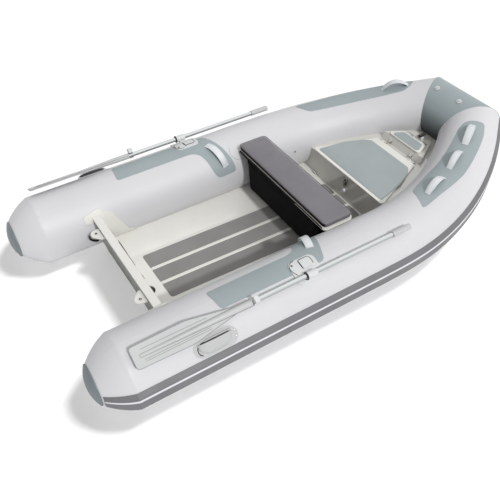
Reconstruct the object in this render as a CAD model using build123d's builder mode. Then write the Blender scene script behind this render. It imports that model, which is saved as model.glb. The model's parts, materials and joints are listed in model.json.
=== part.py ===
"""Inflatable rib tender: a V hull with a moulded liner between two side tubes.

Millimetres. +X forward, +Y port, +Z up. The origin is on the centreline at the
waterline, below the aft edge of the transom top.
"""
from math import cos, radians, sin, sqrt
import os

from build123d import *

os.makedirs("parts", exist_ok=True)

# ---------------------------------------------------------------- driving dimensions
TUBE_R = 215.0            # side tube radius from the stern to the bend
BOW_R = 194.0             # tube radius at the bow
TUBE_Y = 620.0            # side tube axis from the centreline
TUBE_Z = 210.0            # side tube axis above the waterline
CONE_X = -277.0           # stern cone begins here
CAP_X = -425.0            # seam between the stern cone and its cap
CAP_R = 112.0             # cone radius at that seam
CONE_BULGE = 10.0         # the cone swells this far past a straight line
CONE_EASE = 40.0          # rounding where the cone meets the tube
STERN_X = -463.0          # aftmost point of the caps
LOFT_X = 1250.0           # straight tube ends and the tapered bow length begins
BEND_X = 1420.0           # the tubes start to turn in and up
BEND_R = 1649.0           # radius of that turn, in its own tilted plane
BEND_DEG = 41.7           # how far it turns
BEND_TILT = 21.7          # tilt of the plane of the turn about the tube's axis
BOW_RUN = 82.0            # straight run from the turn to the bow mitre
SKIN = 0.4                # clearance that seats rigid pieces against the tubes
PATCH_T = 2.0             # cloth patches glued on the tubes

SOLE_X = 211.0            # station where the sole height is given
SOLE_Z = 71.0             # top of the sole there
SOLE_FALL = 0.0215        # the sole falls this much per mm going forward
SOLE_T = 12.0             # sole thickness
CREASE_Y = 228.0          # the flat of the sole ends at this crease
SIDE_Y = 445.0            # the sole meets the tube here
RISE = 22.0               # rise of the sole from the crease to the tube
SOLE_AFT = -50.0          # the sole's form is drawn from here and cut at the transom

TRANSOM_X = 16.0          # aft edge of the transom top
TRANSOM_Z = 321.0         # height of that edge
RAKE_DEG = 10.5           # the transom leans aft
TRANSOM_T = 38.0          # transom plate
FLANGE_W = 49.0           # width of the flange along its top
FLANGE_T = 14.0

LOCKER_X = 1654.0         # aft face of the bow locker
LOCKER_END = 2062.0       # forward end of the locker's tub
LOCKER_TOP = 236.0        # deck height at the locker's aft face
DECK_SLOPE = 0.057        # the locker deck rises this much per mm
WALL = 10.0               # moulded walls
LID_T = 12.0
PAD_T = 3.0

BENCH_X = (1092.0, 1307.0)
BENCH_HALF = 478.0
BENCH_TOP = 424.0
BENCH_CORNER = 26.0
CUSHION_EASE = 6.0
CUSHION_T = 36.0
BOARD_T = 14.0

OAR_Y = 746.0             # stowed oar axis
OAR_Z = 426.0
OAR_PIVOT_X = 798.0
OAR_TIP_X = -242.0
OAR_END_X = 1499.0
SHAFT_R = 14.0
KEEPER_X = 439.0


# ---------------------------------------------------------------- shared geometry
def tube_plane(run):
    """Section plane of the port tube at a distance past the start of its turn."""
    arc = BEND_R * radians(BEND_DEG)
    turn = min(max(run, 0.0), arc) / BEND_R
    before, after = min(run, 0.0), max(run - arc, 0.0)
    tilt = radians(BEND_TILT)
    inward = BEND_R * (1 - cos(turn)) + after * sin(turn)
    centre = Vector(
        BEND_X + before + BEND_R * sin(turn) + after * cos(turn),
        TUBE_Y - inward * cos(tilt),
        TUBE_Z + inward * sin(tilt),
    )
    along = Vector(cos(turn), -sin(turn) * cos(tilt), sin(turn) * sin(tilt))
    return Plane(origin=centre, x_dir=Vector(0, 0, 1).cross(along), z_dir=along)


def tube_radius(run):
    """Tube radius at a distance past the start of the turn."""
    share = (run - LOFT_X + BEND_X) / (BEND_R * radians(BEND_DEG) - LOFT_X + BEND_X)
    return TUBE_R + (BOW_R - TUBE_R) * min(max(share, 0.0), 1.0)


ARC_RUN = BEND_R * radians(BEND_DEG)
PAST_MITRE = 280.0        # tubes are lofted this far past the turn, then mitred
RUNS = (LOFT_X - BEND_X, 0.0, *(ARC_RUN * n / 4 for n in (1, 2, 3, 4)), ARC_RUN + PAST_MITRE)
MITRE = tube_plane(ARC_RUN + BOW_RUN)
BOW_X, MITRE_Y, BOW_Z = MITRE.origin
MITRE_PLANE = Plane(origin=MITRE.origin, z_dir=MITRE.z_dir + Vector(0, -1, 0))


def side_tube(grow):
    """Port side tube out to the mitre, its skin moved out by grow."""
    axis = Plane(origin=(0, TUBE_Y, TUBE_Z), x_dir=(1, 0, 0), z_dir=(0, -1, 0))
    with BuildPart() as tube:
        with BuildSketch(axis):
            with BuildLine():
                seam, shoulder = (CAP_X, CAP_R + grow), (CONE_X, TUBE_R + grow)
                SagittaArc(seam, shoulder, CONE_BULGE)
                Polyline(
                    shoulder, (LOFT_X, TUBE_R + grow), (LOFT_X, 0), (CAP_X, 0), seam
                )
            corner = make_face().vertices().sort_by(Axis.X)[2]
            fillet(corner, radius=CONE_EASE)
        revolve(axis=Axis((0, TUBE_Y, TUBE_Z), (1, 0, 0)))
        for run in RUNS:
            with BuildSketch(tube_plane(run)):
                Circle(tube_radius(run) + grow)
        loft()
        split(bisect_by=MITRE_PLANE, keep=Keep.BOTTOM)
    return tube.part


def between_mitres(section):
    """Runs a section sketched on the centreline across the bow, cut at both mitres."""
    lean = MITRE_PLANE.z_dir
    twin = Plane(origin=(BOW_X, -MITRE_Y, BOW_Z), z_dir=(lean.X, -lean.Y, lean.Z))
    with BuildPart() as segment:
        extrude(section, amount=2 * MITRE_Y, both=True)
        for mitre in (MITRE_PLANE, twin):
            split(bisect_by=mitre, keep=Keep.TOP)
    return segment.part


def bow_segment(grow):
    """Short cross tube between the two mitres."""
    with BuildSketch(Plane(origin=(BOW_X, 0, BOW_Z), z_dir=(0, 1, 0))) as section:
        Circle(BOW_R + grow)
    return between_mitres(section.sketch)


def on_skin(x, angle):
    """Frame on the port tube's skin: x along the tube, z outward.

    x is measured along the axis from the origin, angle in degrees from the outboard side.
    """
    section, lean = tube_plane(x - BEND_X), radians(angle)
    outward = cos(lean) * section.x_dir + sin(lean) * section.y_dir
    spot = section.origin + tube_radius(x - BEND_X) * outward
    return Plane(origin=spot, x_dir=section.z_dir, z_dir=outward)


def save(part, name):
    """Label a finished sub-part and write its STEP file."""
    part.label = name
    export_step(part, f"parts/{name}.step")


def mirrored(part):
    """Starboard twin of a port piece."""
    return mirror(part, about=Plane.XZ)


def sole_height(x):
    return SOLE_Z - SOLE_FALL * (x - SOLE_X)


# ---------------------------------------------------------------- tubes
port_tube = side_tube(0)
save(port_tube, "port_tube")
save(mirrored(port_tube), "starboard_tube")
bow_tube = bow_segment(0)
save(bow_tube, "bow_tube")

port_room = side_tube(SKIN)
TUBE_ROOM = (port_room, mirrored(port_room), bow_segment(SKIN))


def clear_of_tubes():
    """Trim the part under construction to the tubes."""
    for room in TUBE_ROOM:
        add(room, mode=Mode.SUBTRACT)


CAP_LIP = (6.0, 2.0)      # width and height of the cap's lip over the seam
with BuildPart() as port_stern_cap:
    with BuildSketch(Plane(origin=(0, TUBE_Y, TUBE_Z), x_dir=(1, 0, 0), z_dir=(0, -1, 0))):
        with BuildLine():
            lip_x, lip_r = CAP_X - CAP_LIP[0], CAP_R + CAP_LIP[1]
            depth = lip_x - STERN_X
            Polyline((STERN_X, 0), (CAP_X, 0), (CAP_X, lip_r), (lip_x, lip_r))
            RadiusArc((STERN_X, 0), (lip_x, lip_r), (lip_r**2 + depth**2) / (2 * depth))
        make_face()
    revolve(axis=Axis((0, TUBE_Y, TUBE_Z), (1, 0, 0)))
save(port_stern_cap.part, "port_stern_cap")
save(mirrored(port_stern_cap.part), "starboard_stern_cap")


# ---------------------------------------------------------------- rubbing strake
GROOVE = (5.4, 8.6)       # the strake's stripe lies in a groove between these angles
GROOVE_FLOOR = 15.0       # stand-off of the groove's floor
STRAKE = (  # angle from the outboard side in degrees, stand-off from the tube
    (17, 2), (10, 18), (GROOVE[1], 20), (GROOVE[1], GROOVE_FLOOR),
    (GROOVE[0], GROOVE_FLOOR), (GROOVE[0], 21), (-9, 21), (-16, 2),
)
STRIPE_GAP = 0.1          # degrees left free at each side of the groove
STRIPE = (
    (GROOVE[1] - STRIPE_GAP, 20.5), (GROOVE[0] + STRIPE_GAP, 21.5),
    (GROOVE[0] + STRIPE_GAP, GROOVE_FLOOR + 0.5), (GROOVE[1] - STRIPE_GAP, GROOVE_FLOOR + 0.5),
)
STRAKE_ROOT = 8.0         # on the cone the strake is first made this much too deep
STRAKE_X = CAP_X + 6.0
MITRE_GAP = 0.5           # the stripes stop this far short of the mitres


def around(radius, profile):
    """Profile points given as angle and stand-off, laid out about a tube's centre."""
    return [(radius + off) * Vector(cos(radians(a)), sin(radians(a))) for a, off in profile]


def strake_section(plane, radius, root=0.0):
    """Strake profile on one section plane of the tube."""
    with BuildSketch(plane) as section:
        with BuildLine():
            rim = around(radius, STRAKE)
            Polyline(*rim)
            top, low = radians(STRAKE[0][0]), radians(STRAKE[-1][0])
            inner = radius + SKIN - root
            ends = [inner * Vector(cos(a), sin(a)) for a in (top, low)]
            ThreePointArc(ends[0], (inner, 0), ends[1])
            Line(ends[0], rim[0])
            Line(ends[1], rim[-1])
        make_face()
    return section.sketch


def stripe_section(plane, radius):
    """Stripe in the strake's groove on one section plane of the tube."""
    with BuildSketch(plane) as section:
        with BuildLine():
            Polyline(*around(radius, STRIPE), close=True)
        make_face()
    return section.sketch


def cone_radius(x):
    """Radius of the stern cone at a station."""
    share = (x - CAP_X) / (CONE_X - CAP_X)
    swell = CONE_BULGE * (1 - (2 * share - 1) ** 2) * sqrt(
        1 + ((TUBE_R - CAP_R) / (CONE_X - CAP_X)) ** 2
    )
    return CAP_R + (TUBE_R - CAP_R) * share + swell


CONE_STATIONS = [STRAKE_X + (CONE_X - STRAKE_X) * n / 4 for n in range(5)]


def along_tube(section, mitre):
    """Runs a section from the stern cone round the bow up to a mitre plane."""
    stern = [section(tube_plane(x - BEND_X), cone_radius(x)) for x in CONE_STATIONS]
    with BuildPart() as run_part:
        loft(stern)
        add(port_room, mode=Mode.SUBTRACT)
        extrude(section(tube_plane(CONE_X - BEND_X), TUBE_R), amount=LOFT_X - CONE_X)
        loft([section(tube_plane(run), tube_radius(run)) for run in RUNS])
        split(bisect_by=mitre, keep=Keep.BOTTOM)
    return run_part.part


def rooted(plane, radius):
    """Strake section for the cone, deep enough to be trimmed to it."""
    return strake_section(plane, radius, STRAKE_ROOT if radius < TUBE_R - SKIN else 0.0)


port_strake = along_tube(rooted, MITRE_PLANE)
save(port_strake, "port_strake")
save(mirrored(port_strake), "starboard_strake")

half_way = MITRE_PLANE.z_dir
side_out = tube_plane(ARC_RUN + BOW_RUN).x_dir
met = side_out - 2 * side_out.dot(half_way) * half_way
BOW_SECTION = Plane(origin=(BOW_X, 0, BOW_Z), x_dir=(met.X, 0, met.Z), z_dir=(0, -1, 0))
save(between_mitres(strake_section(BOW_SECTION, BOW_R)), "bow_strake")

port_stripe = along_tube(stripe_section, MITRE_PLANE.offset(-MITRE_GAP))
save(
    Compound(children=[
        port_stripe, mirrored(port_stripe),
        between_mitres(stripe_section(BOW_SECTION, BOW_R)),
    ]),
    "strake_stripes",
)

# ---------------------------------------------------------------- hull
RAKE = Plane(
    origin=(TRANSOM_X, 0, TRANSOM_Z),
    x_dir=(0, 1, 0),
    z_dir=(-cos(radians(RAKE_DEG)), 0, -sin(radians(RAKE_DEG))),
)
HULL = (  # x, keel z, chine y, chine z, top y
    (-10, -95, 545, -6, 600),
    (700, -100, 545, -6, 600),
    (1400, -95, 530, 0, 600),
    (1850, -60, 435, 40, 520),
    (2200, 14, 270, 115, 360),
    (2420, 112, 110, 190, 190),
    (2560, 184, 12, 189, 40),
)
FORM_TOP = 300.0          # the hull form is trimmed down from this height
DEEP = 400.0              # reaches past the hull in any direction of a cut


def dish(drop):
    """Half outline of the sole: flat to the crease, then rising to the tube."""
    lift = RISE * (TUBE_Y - CREASE_Y) / (SIDE_Y - CREASE_Y)
    return ((0, -drop), (CREASE_Y, -drop), (TUBE_Y, lift - drop))


def sole_prism(x_from, x_to, low, high):
    """Solid between two copies of the sole's dish, falling as the sole does."""
    start = Plane(origin=(x_from, 0, sole_height(x_from)), x_dir=(0, 1, 0), z_dir=(1, 0, 0))
    under, over = dish(low), dish(high)
    with BuildPart() as prism:
        with BuildSketch(start):
            with BuildLine():
                Polyline(*under, *reversed(over), close=True)
            make_face()
            mirror(about=Plane.YZ)
        extrude(amount=(x_to - x_from) * sqrt(1 + SOLE_FALL**2), dir=(1, 0, -SOLE_FALL))
    return prism.part


with BuildPart() as hull_form:
    for x, keel_z, chine_y, chine_z, top_y in HULL:
        with BuildSketch(Plane(origin=(x, 0, 0), x_dir=(0, 1, 0), z_dir=(1, 0, 0))):
            with BuildLine():
                Polyline(
                    (0, keel_z), (chine_y, chine_z), (top_y, FORM_TOP),
                    (-top_y, FORM_TOP), (-chine_y, chine_z), close=True,
                )
            make_face()
    loft(ruled=True)

DECK = Plane(
    origin=(LOCKER_X, 0, LOCKER_TOP), x_dir=(0, 1, 0), z_dir=(-DECK_SLOPE, 0, 1)
)
LID = ((1650, 372), (2092, 192))       # x and half width at both ends of the lid
PAD = ((1690, 326), (2040, 198))       # the foam pad on it
MOUTH = ((1696, 296), (2030, 176))     # the locker's opening under it
TUB_FLOOR = 60.0
ANCHOR = ((2120, 212), (2330, 87))     # raised anchor locker
ANCHOR_LID = ((2150, 158), (2252, 108))
ANCHOR_PAD = ((2160, 135), (2240, 90))
ANCHOR_MOUTH = ((2172, 134), (2238, 98))
ANCHOR_TOP = 309.0
ANCHOR_FLOOR = 190.0
ANCHOR_RAKE = 28.0                     # its aft face leans forward
ANCHOR_FOOT = (2125.0, 0, 258.0)       # where that face meets the deck
MOUTH_CORNER = 24.0
LID_CORNER = 20.0


def trapezoid(ends, grow, low, high):
    """Upright prism on a trapezoid given by x and half width at both ends."""
    (x_aft, y_aft), (x_fore, y_fore) = ends
    with BuildPart() as prism:
        with BuildSketch(Plane.XY.offset(low)):
            with BuildLine():
                Polyline(
                    (x_aft - grow, -y_aft - grow), (x_fore + grow, -y_fore - grow),
                    (x_fore + grow, y_fore + grow), (x_aft - grow, y_aft + grow), close=True,
                )
            make_face()
            fillet(vertices(), radius=MOUTH_CORNER)
        extrude(amount=high - low)
    return prism.part


with BuildPart() as tub_space:
    add(trapezoid(MOUTH, WALL, TUB_FLOOR - WALL, FORM_TOP))
    add(trapezoid(ANCHOR_MOUTH, WALL, ANCHOR_FLOOR - WALL, FORM_TOP))

GUTTER_X = (90.0, 143.0)  # drain channel along the foot of the transom
GUTTER_Y = ((149.0, 400.0), (16.0, 68.0))
SUMP = (116.0, -82.0, 44.0)
SUMP_DEPTH = 30.0

with BuildPart() as drains:
    with BuildSketch(Plane.XY.offset(SOLE_Z + SOLE_T - SUMP_DEPTH)):
        for y_from, y_to in GUTTER_Y:
            with Locations((sum(GUTTER_X) / 2, (y_from + y_to) / 2)):
                RectangleRounded(GUTTER_X[1] - GUTTER_X[0], y_to - y_from, 6)
        with Locations(SUMP[:2]):
            Circle(SUMP[2])
    extrude(amount=2 * SUMP_DEPTH)

with BuildPart() as hull:
    add(hull_form.part)
    split(bisect_by=RAKE.offset(-TRANSOM_T), keep=Keep.BOTTOM)
    split(bisect_by=DECK.offset(-WALL), keep=Keep.BOTTOM)
    add(sole_prism(SOLE_AFT, LOCKER_X + WALL, SOLE_T, -DEEP), mode=Mode.SUBTRACT)
    add(tub_space.part, mode=Mode.SUBTRACT)
    add(drains.part, mode=Mode.SUBTRACT)
    clear_of_tubes()
save(hull.part, "hull")

with BuildPart() as sole:
    add(hull_form.part)
    add(sole_prism(SOLE_AFT, LOCKER_X, SOLE_T, 0), mode=Mode.INTERSECT)
    split(bisect_by=RAKE.offset(-TRANSOM_T), keep=Keep.BOTTOM)
    add(drains.part, mode=Mode.SUBTRACT)
    clear_of_tubes()
save(sole.part, "sole")

with BuildPart() as anchor_block:
    add(trapezoid(ANCHOR, 0, LOCKER_TOP, ANCHOR_TOP))
    split(bisect_by=DECK.offset(-WALL / 2), keep=Keep.TOP)
    rake = radians(ANCHOR_RAKE)
    split(bisect_by=Plane(origin=ANCHOR_FOOT, z_dir=(cos(rake), 0, -sin(rake))), keep=Keep.TOP)

with BuildPart() as bow_deck:
    add(hull_form.part)
    with BuildSketch(DECK):
        Rectangle(2 * TUBE_Y, 2 * LOCKER_X)
    extrude(amount=-WALL, mode=Mode.INTERSECT)
    with BuildSketch(Plane(origin=(LOCKER_X, 0, 0), x_dir=(0, 1, 0), z_dir=(1, 0, 0))):
        Rectangle(2 * TUBE_Y, 2 * DEEP)
    face = extrude(amount=WALL, mode=Mode.PRIVATE)
    add(face & hull_form.part & sole_prism(LOCKER_X, LOCKER_X + WALL, SOLE_T, -DEEP))
    add(trapezoid(MOUTH, WALL, TUB_FLOOR - WALL, FORM_TOP))
    split(bisect_by=DECK, keep=Keep.BOTTOM)
    add(anchor_block.part)
    add(trapezoid(ANCHOR_MOUTH, WALL, ANCHOR_FLOOR - WALL, ANCHOR_TOP))
    split(bisect_by=Plane.YZ.offset(LOCKER_X), keep=Keep.TOP)
    add(trapezoid(MOUTH, 0, TUB_FLOOR, FORM_TOP), mode=Mode.SUBTRACT)
    add(trapezoid(ANCHOR_MOUTH, 0, ANCHOR_FLOOR, DEEP), mode=Mode.SUBTRACT)
    clear_of_tubes()
save(bow_deck.part, "bow_deck")

# ---------------------------------------------------------------- transom
EAR_Y = 307.0             # hole of a lifting ear, one ear near each end
EAR_BASE = (246.0, 340.0)
EAR_HOLE_R = 8.0
EAR_OUT = 28.0            # hole centre aft of the transom
EAR_R = 32.0
EAR_T = 9.0
EAR_DROP = 36.0           # underside of the ears below the flange's top
EDGE_R = 5.0              # rounded long edges of the flange
TRANSOM_HALF = 440.0
TRANSOM_DEEP = 260.0
COVER_T = 3.0             # cover moulding on the transom's aft face
COVER_LOW = -10.0

with BuildPart() as flange:
    with BuildSketch(Plane.XY.offset(TRANSOM_Z)):
        with Locations((TRANSOM_X, 0)):
            Rectangle(FLANGE_W, 2 * TRANSOM_HALF, align=(Align.MIN, Align.CENTER))
    extrude(amount=-FLANGE_T)
    fillet(flange.edges().filter_by(Axis.Y).group_by(Axis.Z)[-1], radius=EDGE_R)

with BuildPart() as transom:
    add(hull_form.part)
    with BuildSketch(Plane(origin=(-TRANSOM_DEEP, 0, 0), x_dir=(0, 1, 0), z_dir=(1, 0, 0))):
        with Locations((0, TRANSOM_Z - TRANSOM_DEEP / 2)):
            Rectangle(2 * TRANSOM_HALF, TRANSOM_DEEP)
    extrude(amount=2 * TRANSOM_DEEP)
    split(bisect_by=RAKE, keep=Keep.BOTTOM)
    split(bisect_by=RAKE.offset(-TRANSOM_T), keep=Keep.TOP)
    add(flange.part)
    for side in (1, -1):
        ear_x, ear_low = TRANSOM_X - EAR_OUT, TRANSOM_Z - EAR_DROP
        with BuildSketch(Plane.XY.offset(ear_low)):
            with Locations((TRANSOM_X, side * sum(EAR_BASE) / 2)):
                Rectangle(EAR_OUT, EAR_BASE[1] - EAR_BASE[0])
            with Locations((ear_x, side * EAR_Y)):
                Circle(EAR_R)
            make_hull()
        extrude(amount=EAR_T)
        with Locations((ear_x, side * EAR_Y, ear_low + EAR_T)):
            Hole(EAR_HOLE_R, depth=2 * EAR_T)
    clear_of_tubes()
save(transom.part, "transom")

with BuildPart() as transom_cover:
    with BuildSketch(RAKE):
        low = (TRANSOM_Z - COVER_LOW) / cos(radians(RAKE_DEG))
        with Locations((0, (FLANGE_T + low) / 2)):
            Rectangle(2 * TRANSOM_HALF, low - FLANGE_T)
    extrude(amount=COVER_T)
    add(transom.part, mode=Mode.SUBTRACT)
    clear_of_tubes()
save(transom_cover.part.solids().sort_by(SortBy.VOLUME)[-1], "transom_cover")

# ---------------------------------------------------------------- cloth patches
PATCH_REACH = 400.0
PATCH_CORNER = 26.0
WEAR_AIM = (650.0, 116.0)  # station and angle that a patch's outline is aimed at
WEAR_PATCH = (  # edges in turn, each through points given as station and angle
    ((255, 108), (272, 70)),
    ((272, 70), (926, 71)),
    ((926, 71), (962, 90), (1005, 113), (1040, 143)),
    ((1040, 143), (1028, 164)),
    ((1028, 164), (898, 165)),
    ((898, 165), (863, 144), (825, 121), (800, 108)),
    ((800, 108), (255, 108)),
)
BOW_AIM = (2120.0, 75.0)
BOW_PATCH = (
    ((1645, 91), (1636, 43)),
    ((1636, 43), (1859, 48), (2113, 49), (2364, 37), (2543, 32), (2598, 33)),
    ((2598, 33), (2626, 50), (2606, 72), (2567, 93)),
    ((2567, 93), (2521, 98), (2373, 108), (2045, 103), (1750, 93), (1645, 91)),
)


def skin_patch(edges, aim):
    """Thin patch on the port tube inside a ring of edges."""
    spot = on_skin(*aim)
    flat = Plane(origin=tube_plane(aim[0] - BEND_X).origin, x_dir=spot.x_dir, z_dir=spot.z_dir)
    with BuildPart() as patch:
        with BuildSketch(flat):
            with BuildLine():
                for edge in edges:
                    places = [flat.to_local_coords(on_skin(x, a).origin) for x, a in edge]
                    places = [(place.X, place.Y) for place in places]
                    Spline(*places) if len(places) > 2 else Line(*places)
            make_face()
        extrude(amount=PATCH_REACH)
        fillet(patch.edges().filter_by(Axis(flat.origin, flat.z_dir)), radius=PATCH_CORNER)
        add(side_tube(SKIN + PATCH_T), mode=Mode.INTERSECT)
        add(port_room, mode=Mode.SUBTRACT)
    return patch.part


def pair(port_solids, name):
    """Saves port solids and their starboard twins in one sub-part."""
    save(Compound(children=[*port_solids, *map(mirrored, port_solids)]), name)


wear_patch = skin_patch(WEAR_PATCH, WEAR_AIM)
pair([wear_patch], "wear_patches")
pair([skin_patch(BOW_PATCH, BOW_AIM)], "bow_patches")

# ---------------------------------------------------------------- grab handles
HANDLE_HALF = 96.0        # half length of a strap handle
HANDLE_HIGH = 44.0
HANDLE_T = 6.0
HANDLE_W = 52.0
HANDLE_TURN = 70.5        # the side handles run this far round from the tube's length
HANDLES = (  # station, angle on the tube, turn from the tube's length, foot below the skin
    (1918.0, 90.0, 0.0, 9.0), (2178.0, 89.0, 0.0, 9.0), (2444.0, 88.0, 0.0, 9.0),
    (928.0, 132.0, HANDLE_TURN, 30.0),
)
CARRY_SPOT = (168.0, 37.5)
CARRY_PLATE = (226.0, 86.0)
CARRY_PLATE_T = 4.0
FLAP = (200.0, 70.0)      # outline of the raised flap that the fingers hook under
FLAP_CROWN = ((-104, -10), (-62, 25), (0, 30), (62, 25), (104, -10))
FLAP_EASE = 6.0
MOUTH_W, MOUTH_H = 124.0, 19.0
MOUTH_IN, MOUTH_OUT = 24.0, 60.0


def arched_strap(spot, half, high, thick, width, foot):
    """Arched strap along a skin frame's x, its feet carried below the skin."""
    upright = Plane(origin=spot.origin, x_dir=spot.x_dir, z_dir=-spot.y_dir)
    with BuildPart() as strap:
        with BuildSketch(upright):
            with BuildLine():
                ThreePointArc((-half, -foot), (0, high), (half, -foot))
                inner = half - thick
                ThreePointArc((-inner, -foot), (0, high - thick), (inner, -foot))
                Line((-half, -foot), (-inner, -foot))
                Line((half, -foot), (inner, -foot))
            make_face()
        extrude(amount=width / 2, both=True)
    return strap.part


cloth_room = side_tube(SKIN + PATCH_T)
for side in ("port", "starboard"):
    straps = []
    for x, angle, turn, foot in HANDLES:
        spot = on_skin(x, angle).rotated((0, 0, turn))
        strap = arched_strap(spot, HANDLE_HALF, HANDLE_HIGH, HANDLE_T, HANDLE_W, foot)
        strap = (strap - cloth_room).solids().sort_by(SortBy.VOLUME)[-1]
        straps.append(strap if side == "port" else mirrored(strap))
    save(Compound(children=straps), f"{side}_grab_handles")

with BuildPart() as carry_handle:
    spot = on_skin(*CARRY_SPOT)
    side_view = Plane(origin=spot.origin, x_dir=spot.x_dir, z_dir=-spot.y_dir)
    with BuildSketch(side_view):
        with BuildLine():
            Spline(*FLAP_CROWN)
            Line(FLAP_CROWN[0], FLAP_CROWN[-1])
        make_face()
    extrude(amount=FLAP[1] / 2, both=True)
    crown = carry_handle.faces().sort_by(SortBy.AREA)[-1]
    fillet(crown.edges().sort_by(Edge.length)[-2:], radius=FLAP_EASE)
    with BuildSketch(spot.offset(-MOUTH_OUT)):
        SlotOverall(*FLAP)
    extrude(amount=2 * MOUTH_OUT, mode=Mode.INTERSECT)
    with BuildPart(mode=Mode.PRIVATE) as plate:
        with BuildSketch(spot.offset(-MOUTH_OUT)):
            SlotOverall(*CARRY_PLATE)
        extrude(amount=2 * MOUTH_OUT)
        add(side_tube(SKIN + CARRY_PLATE_T), mode=Mode.INTERSECT)
    add(plate.part)
    with BuildSketch(side_view.offset(MOUTH_IN)):
        with Locations((0, CARRY_PLATE_T + MOUTH_H / 2)):
            RectangleRounded(MOUTH_W, MOUTH_H, FLAP_EASE)
    extrude(amount=-(MOUTH_IN + MOUTH_OUT), mode=Mode.SUBTRACT)
    add(port_room, mode=Mode.SUBTRACT)
save(carry_handle.part, "port_carry_handle")
save(mirrored(carry_handle.part), "starboard_carry_handle")

# ---------------------------------------------------------------- transom knees
KNEE_T = 6.0
KNEE = (  # x and z of the knee's outline where the transom meets the tube
    (-34, 292), (-34, 332), (67, 350), (145, 302), (240, 130), (300, 96), (64, 96), (20, 285),
)
with BuildPart() as knee:
    with BuildSketch(Plane(origin=(0, TUBE_Y, 0), x_dir=(1, 0, 0), z_dir=(0, -1, 0))):
        with BuildLine():
            Polyline(*KNEE, close=True)
        make_face()
        fillet(vertices().group_by(Axis.Y)[-1], radius=30)
        fillet(vertices().sort_by(Axis.X)[:2], radius=10)
    extrude(amount=PATCH_REACH)
    add(side_tube(SKIN + KNEE_T), mode=Mode.INTERSECT)
    add(port_room, mode=Mode.SUBTRACT)
    for neighbour in (transom.part, transom_cover.part, sole.part, hull.part):
        add(neighbour, mode=Mode.SUBTRACT)
pair(knee.part.solids().filter_by(lambda solid: solid.volume > 1000), "transom_knees")

# ---------------------------------------------------------------- locker lids
def lid_plate(ends, plane, thick):
    """Rounded trapezoid plate on a deck plane whose x runs to port, y aft."""
    (x_aft, y_aft), (x_fore, y_fore) = ends
    x_aft, x_fore = x_aft - plane.origin.X, x_fore - plane.origin.X
    with BuildPart() as plate:
        with BuildSketch(plane):
            with BuildLine():
                Polyline(
                    (y_aft, -x_aft), (y_fore, -x_fore), (-y_fore, -x_fore), (-y_aft, -x_aft),
                    close=True,
                )
            make_face()
            fillet(vertices(), radius=LID_CORNER)
        extrude(amount=thick)
    return plate.part


LID_GAP = 1.0
ANCHOR_DECK = Plane(origin=(ANCHOR[0][0], 0, ANCHOR_TOP), x_dir=(0, 1, 0), z_dir=(0, 0, 1))
HINGE_R = 6.5             # hinge barrel
HINGE_HALF = 10.0         # half length of the barrel's moving knuckle
HINGE_END = 30.0          # half length of the whole hinge
HINGE_GAP = 0.5
LEAF_DROP = 4.0           # top of the fixed leaf below the pin
LEAF_H = 8.0
LEAF_X = 23.0             # the fixed leaf reaches this far ahead of the pin
WEB_X = 36.0              # the moving knuckle's web runs this far into the lid
WEB_T = 7.0
LIDS = (  # name, lid, pad, deck plane, hinge pin x and z, hinge y
    ("locker", LID, PAD, DECK, 2101.0, 269.2, 140.0),
    ("anchor", ANCHOR_LID, ANCHOR_PAD, ANCHOR_DECK, 2261.0, 316.5, 66.0),
)
for name, lid_ends, pad_ends, deck, pin_x, pin_z, hinge_y in LIDS:
    under = deck.offset(LID_GAP)
    with BuildPart() as lid:
        add(lid_plate(lid_ends, under, LID_T))
        for side in (1, -1):
            with BuildSketch(Plane(origin=(pin_x, side * hinge_y, pin_z), z_dir=(0, 1, 0))):
                Circle(HINGE_R)
            extrude(amount=HINGE_HALF, both=True)
            with Locations((pin_x, side * hinge_y, pin_z)):
                Box(
                    WEB_X, 2 * HINGE_HALF, WEB_T,
                    align=(Align.MAX, Align.CENTER, Align.CENTER),
                )
    save(lid.part, f"{name}_lid")
    save(lid_plate(pad_ends, under.offset(LID_T), PAD_T), f"{name}_pad")
    with BuildPart() as hinges:
        leaf_top = pin_z - LEAF_DROP
        for side in (1, -1):
            for end in (1, -1):
                start = side * hinge_y + end * (HINGE_HALF + HINGE_GAP)
                length = end * (HINGE_END - HINGE_HALF - HINGE_GAP)
                with BuildSketch(Plane(origin=(pin_x, start, pin_z), z_dir=(0, end, 0))):
                    Circle(HINGE_R)
                extrude(amount=abs(length))
                with Locations((pin_x, start + length / 2, leaf_top)):
                    Box(
                        LEAF_X, abs(length), LEAF_H,
                        align=(Align.MIN, Align.CENTER, Align.MAX),
                    )
            free_x = pin_x + HINGE_R + LEAF_DROP
            with Locations((free_x, side * hinge_y, leaf_top)):
                Box(
                    pin_x + LEAF_X - free_x, 2 * HINGE_END, LEAF_H,
                    align=(Align.MIN, Align.CENTER, Align.MAX),
                )
        split(bisect_by=deck, keep=Keep.TOP)
    save(hinges.part, f"{name}_hinges")

# ---------------------------------------------------------------- bench
with BuildPart() as bench_board:
    with BuildSketch(Plane.XY.offset(BENCH_TOP - CUSHION_T - BOARD_T)):
        with Locations((sum(BENCH_X) / 2, 0)):
            RectangleRounded(BENCH_X[1] - BENCH_X[0], 2 * BENCH_HALF, BENCH_CORNER)
    extrude(amount=BOARD_T)
    clear_of_tubes()
save(bench_board.part, "bench_board")

with BuildPart() as bench_cushion:
    with BuildSketch(Plane.XY.offset(BENCH_TOP - CUSHION_T)):
        with Locations((sum(BENCH_X) / 2, 0)):
            RectangleRounded(BENCH_X[1] - BENCH_X[0], 2 * BENCH_HALF, BENCH_CORNER)
    extrude(amount=CUSHION_T)
    fillet(bench_cushion.edges().group_by(Axis.Z)[-1], radius=CUSHION_EASE)
save(bench_cushion.part, "bench_cushion")

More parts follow.
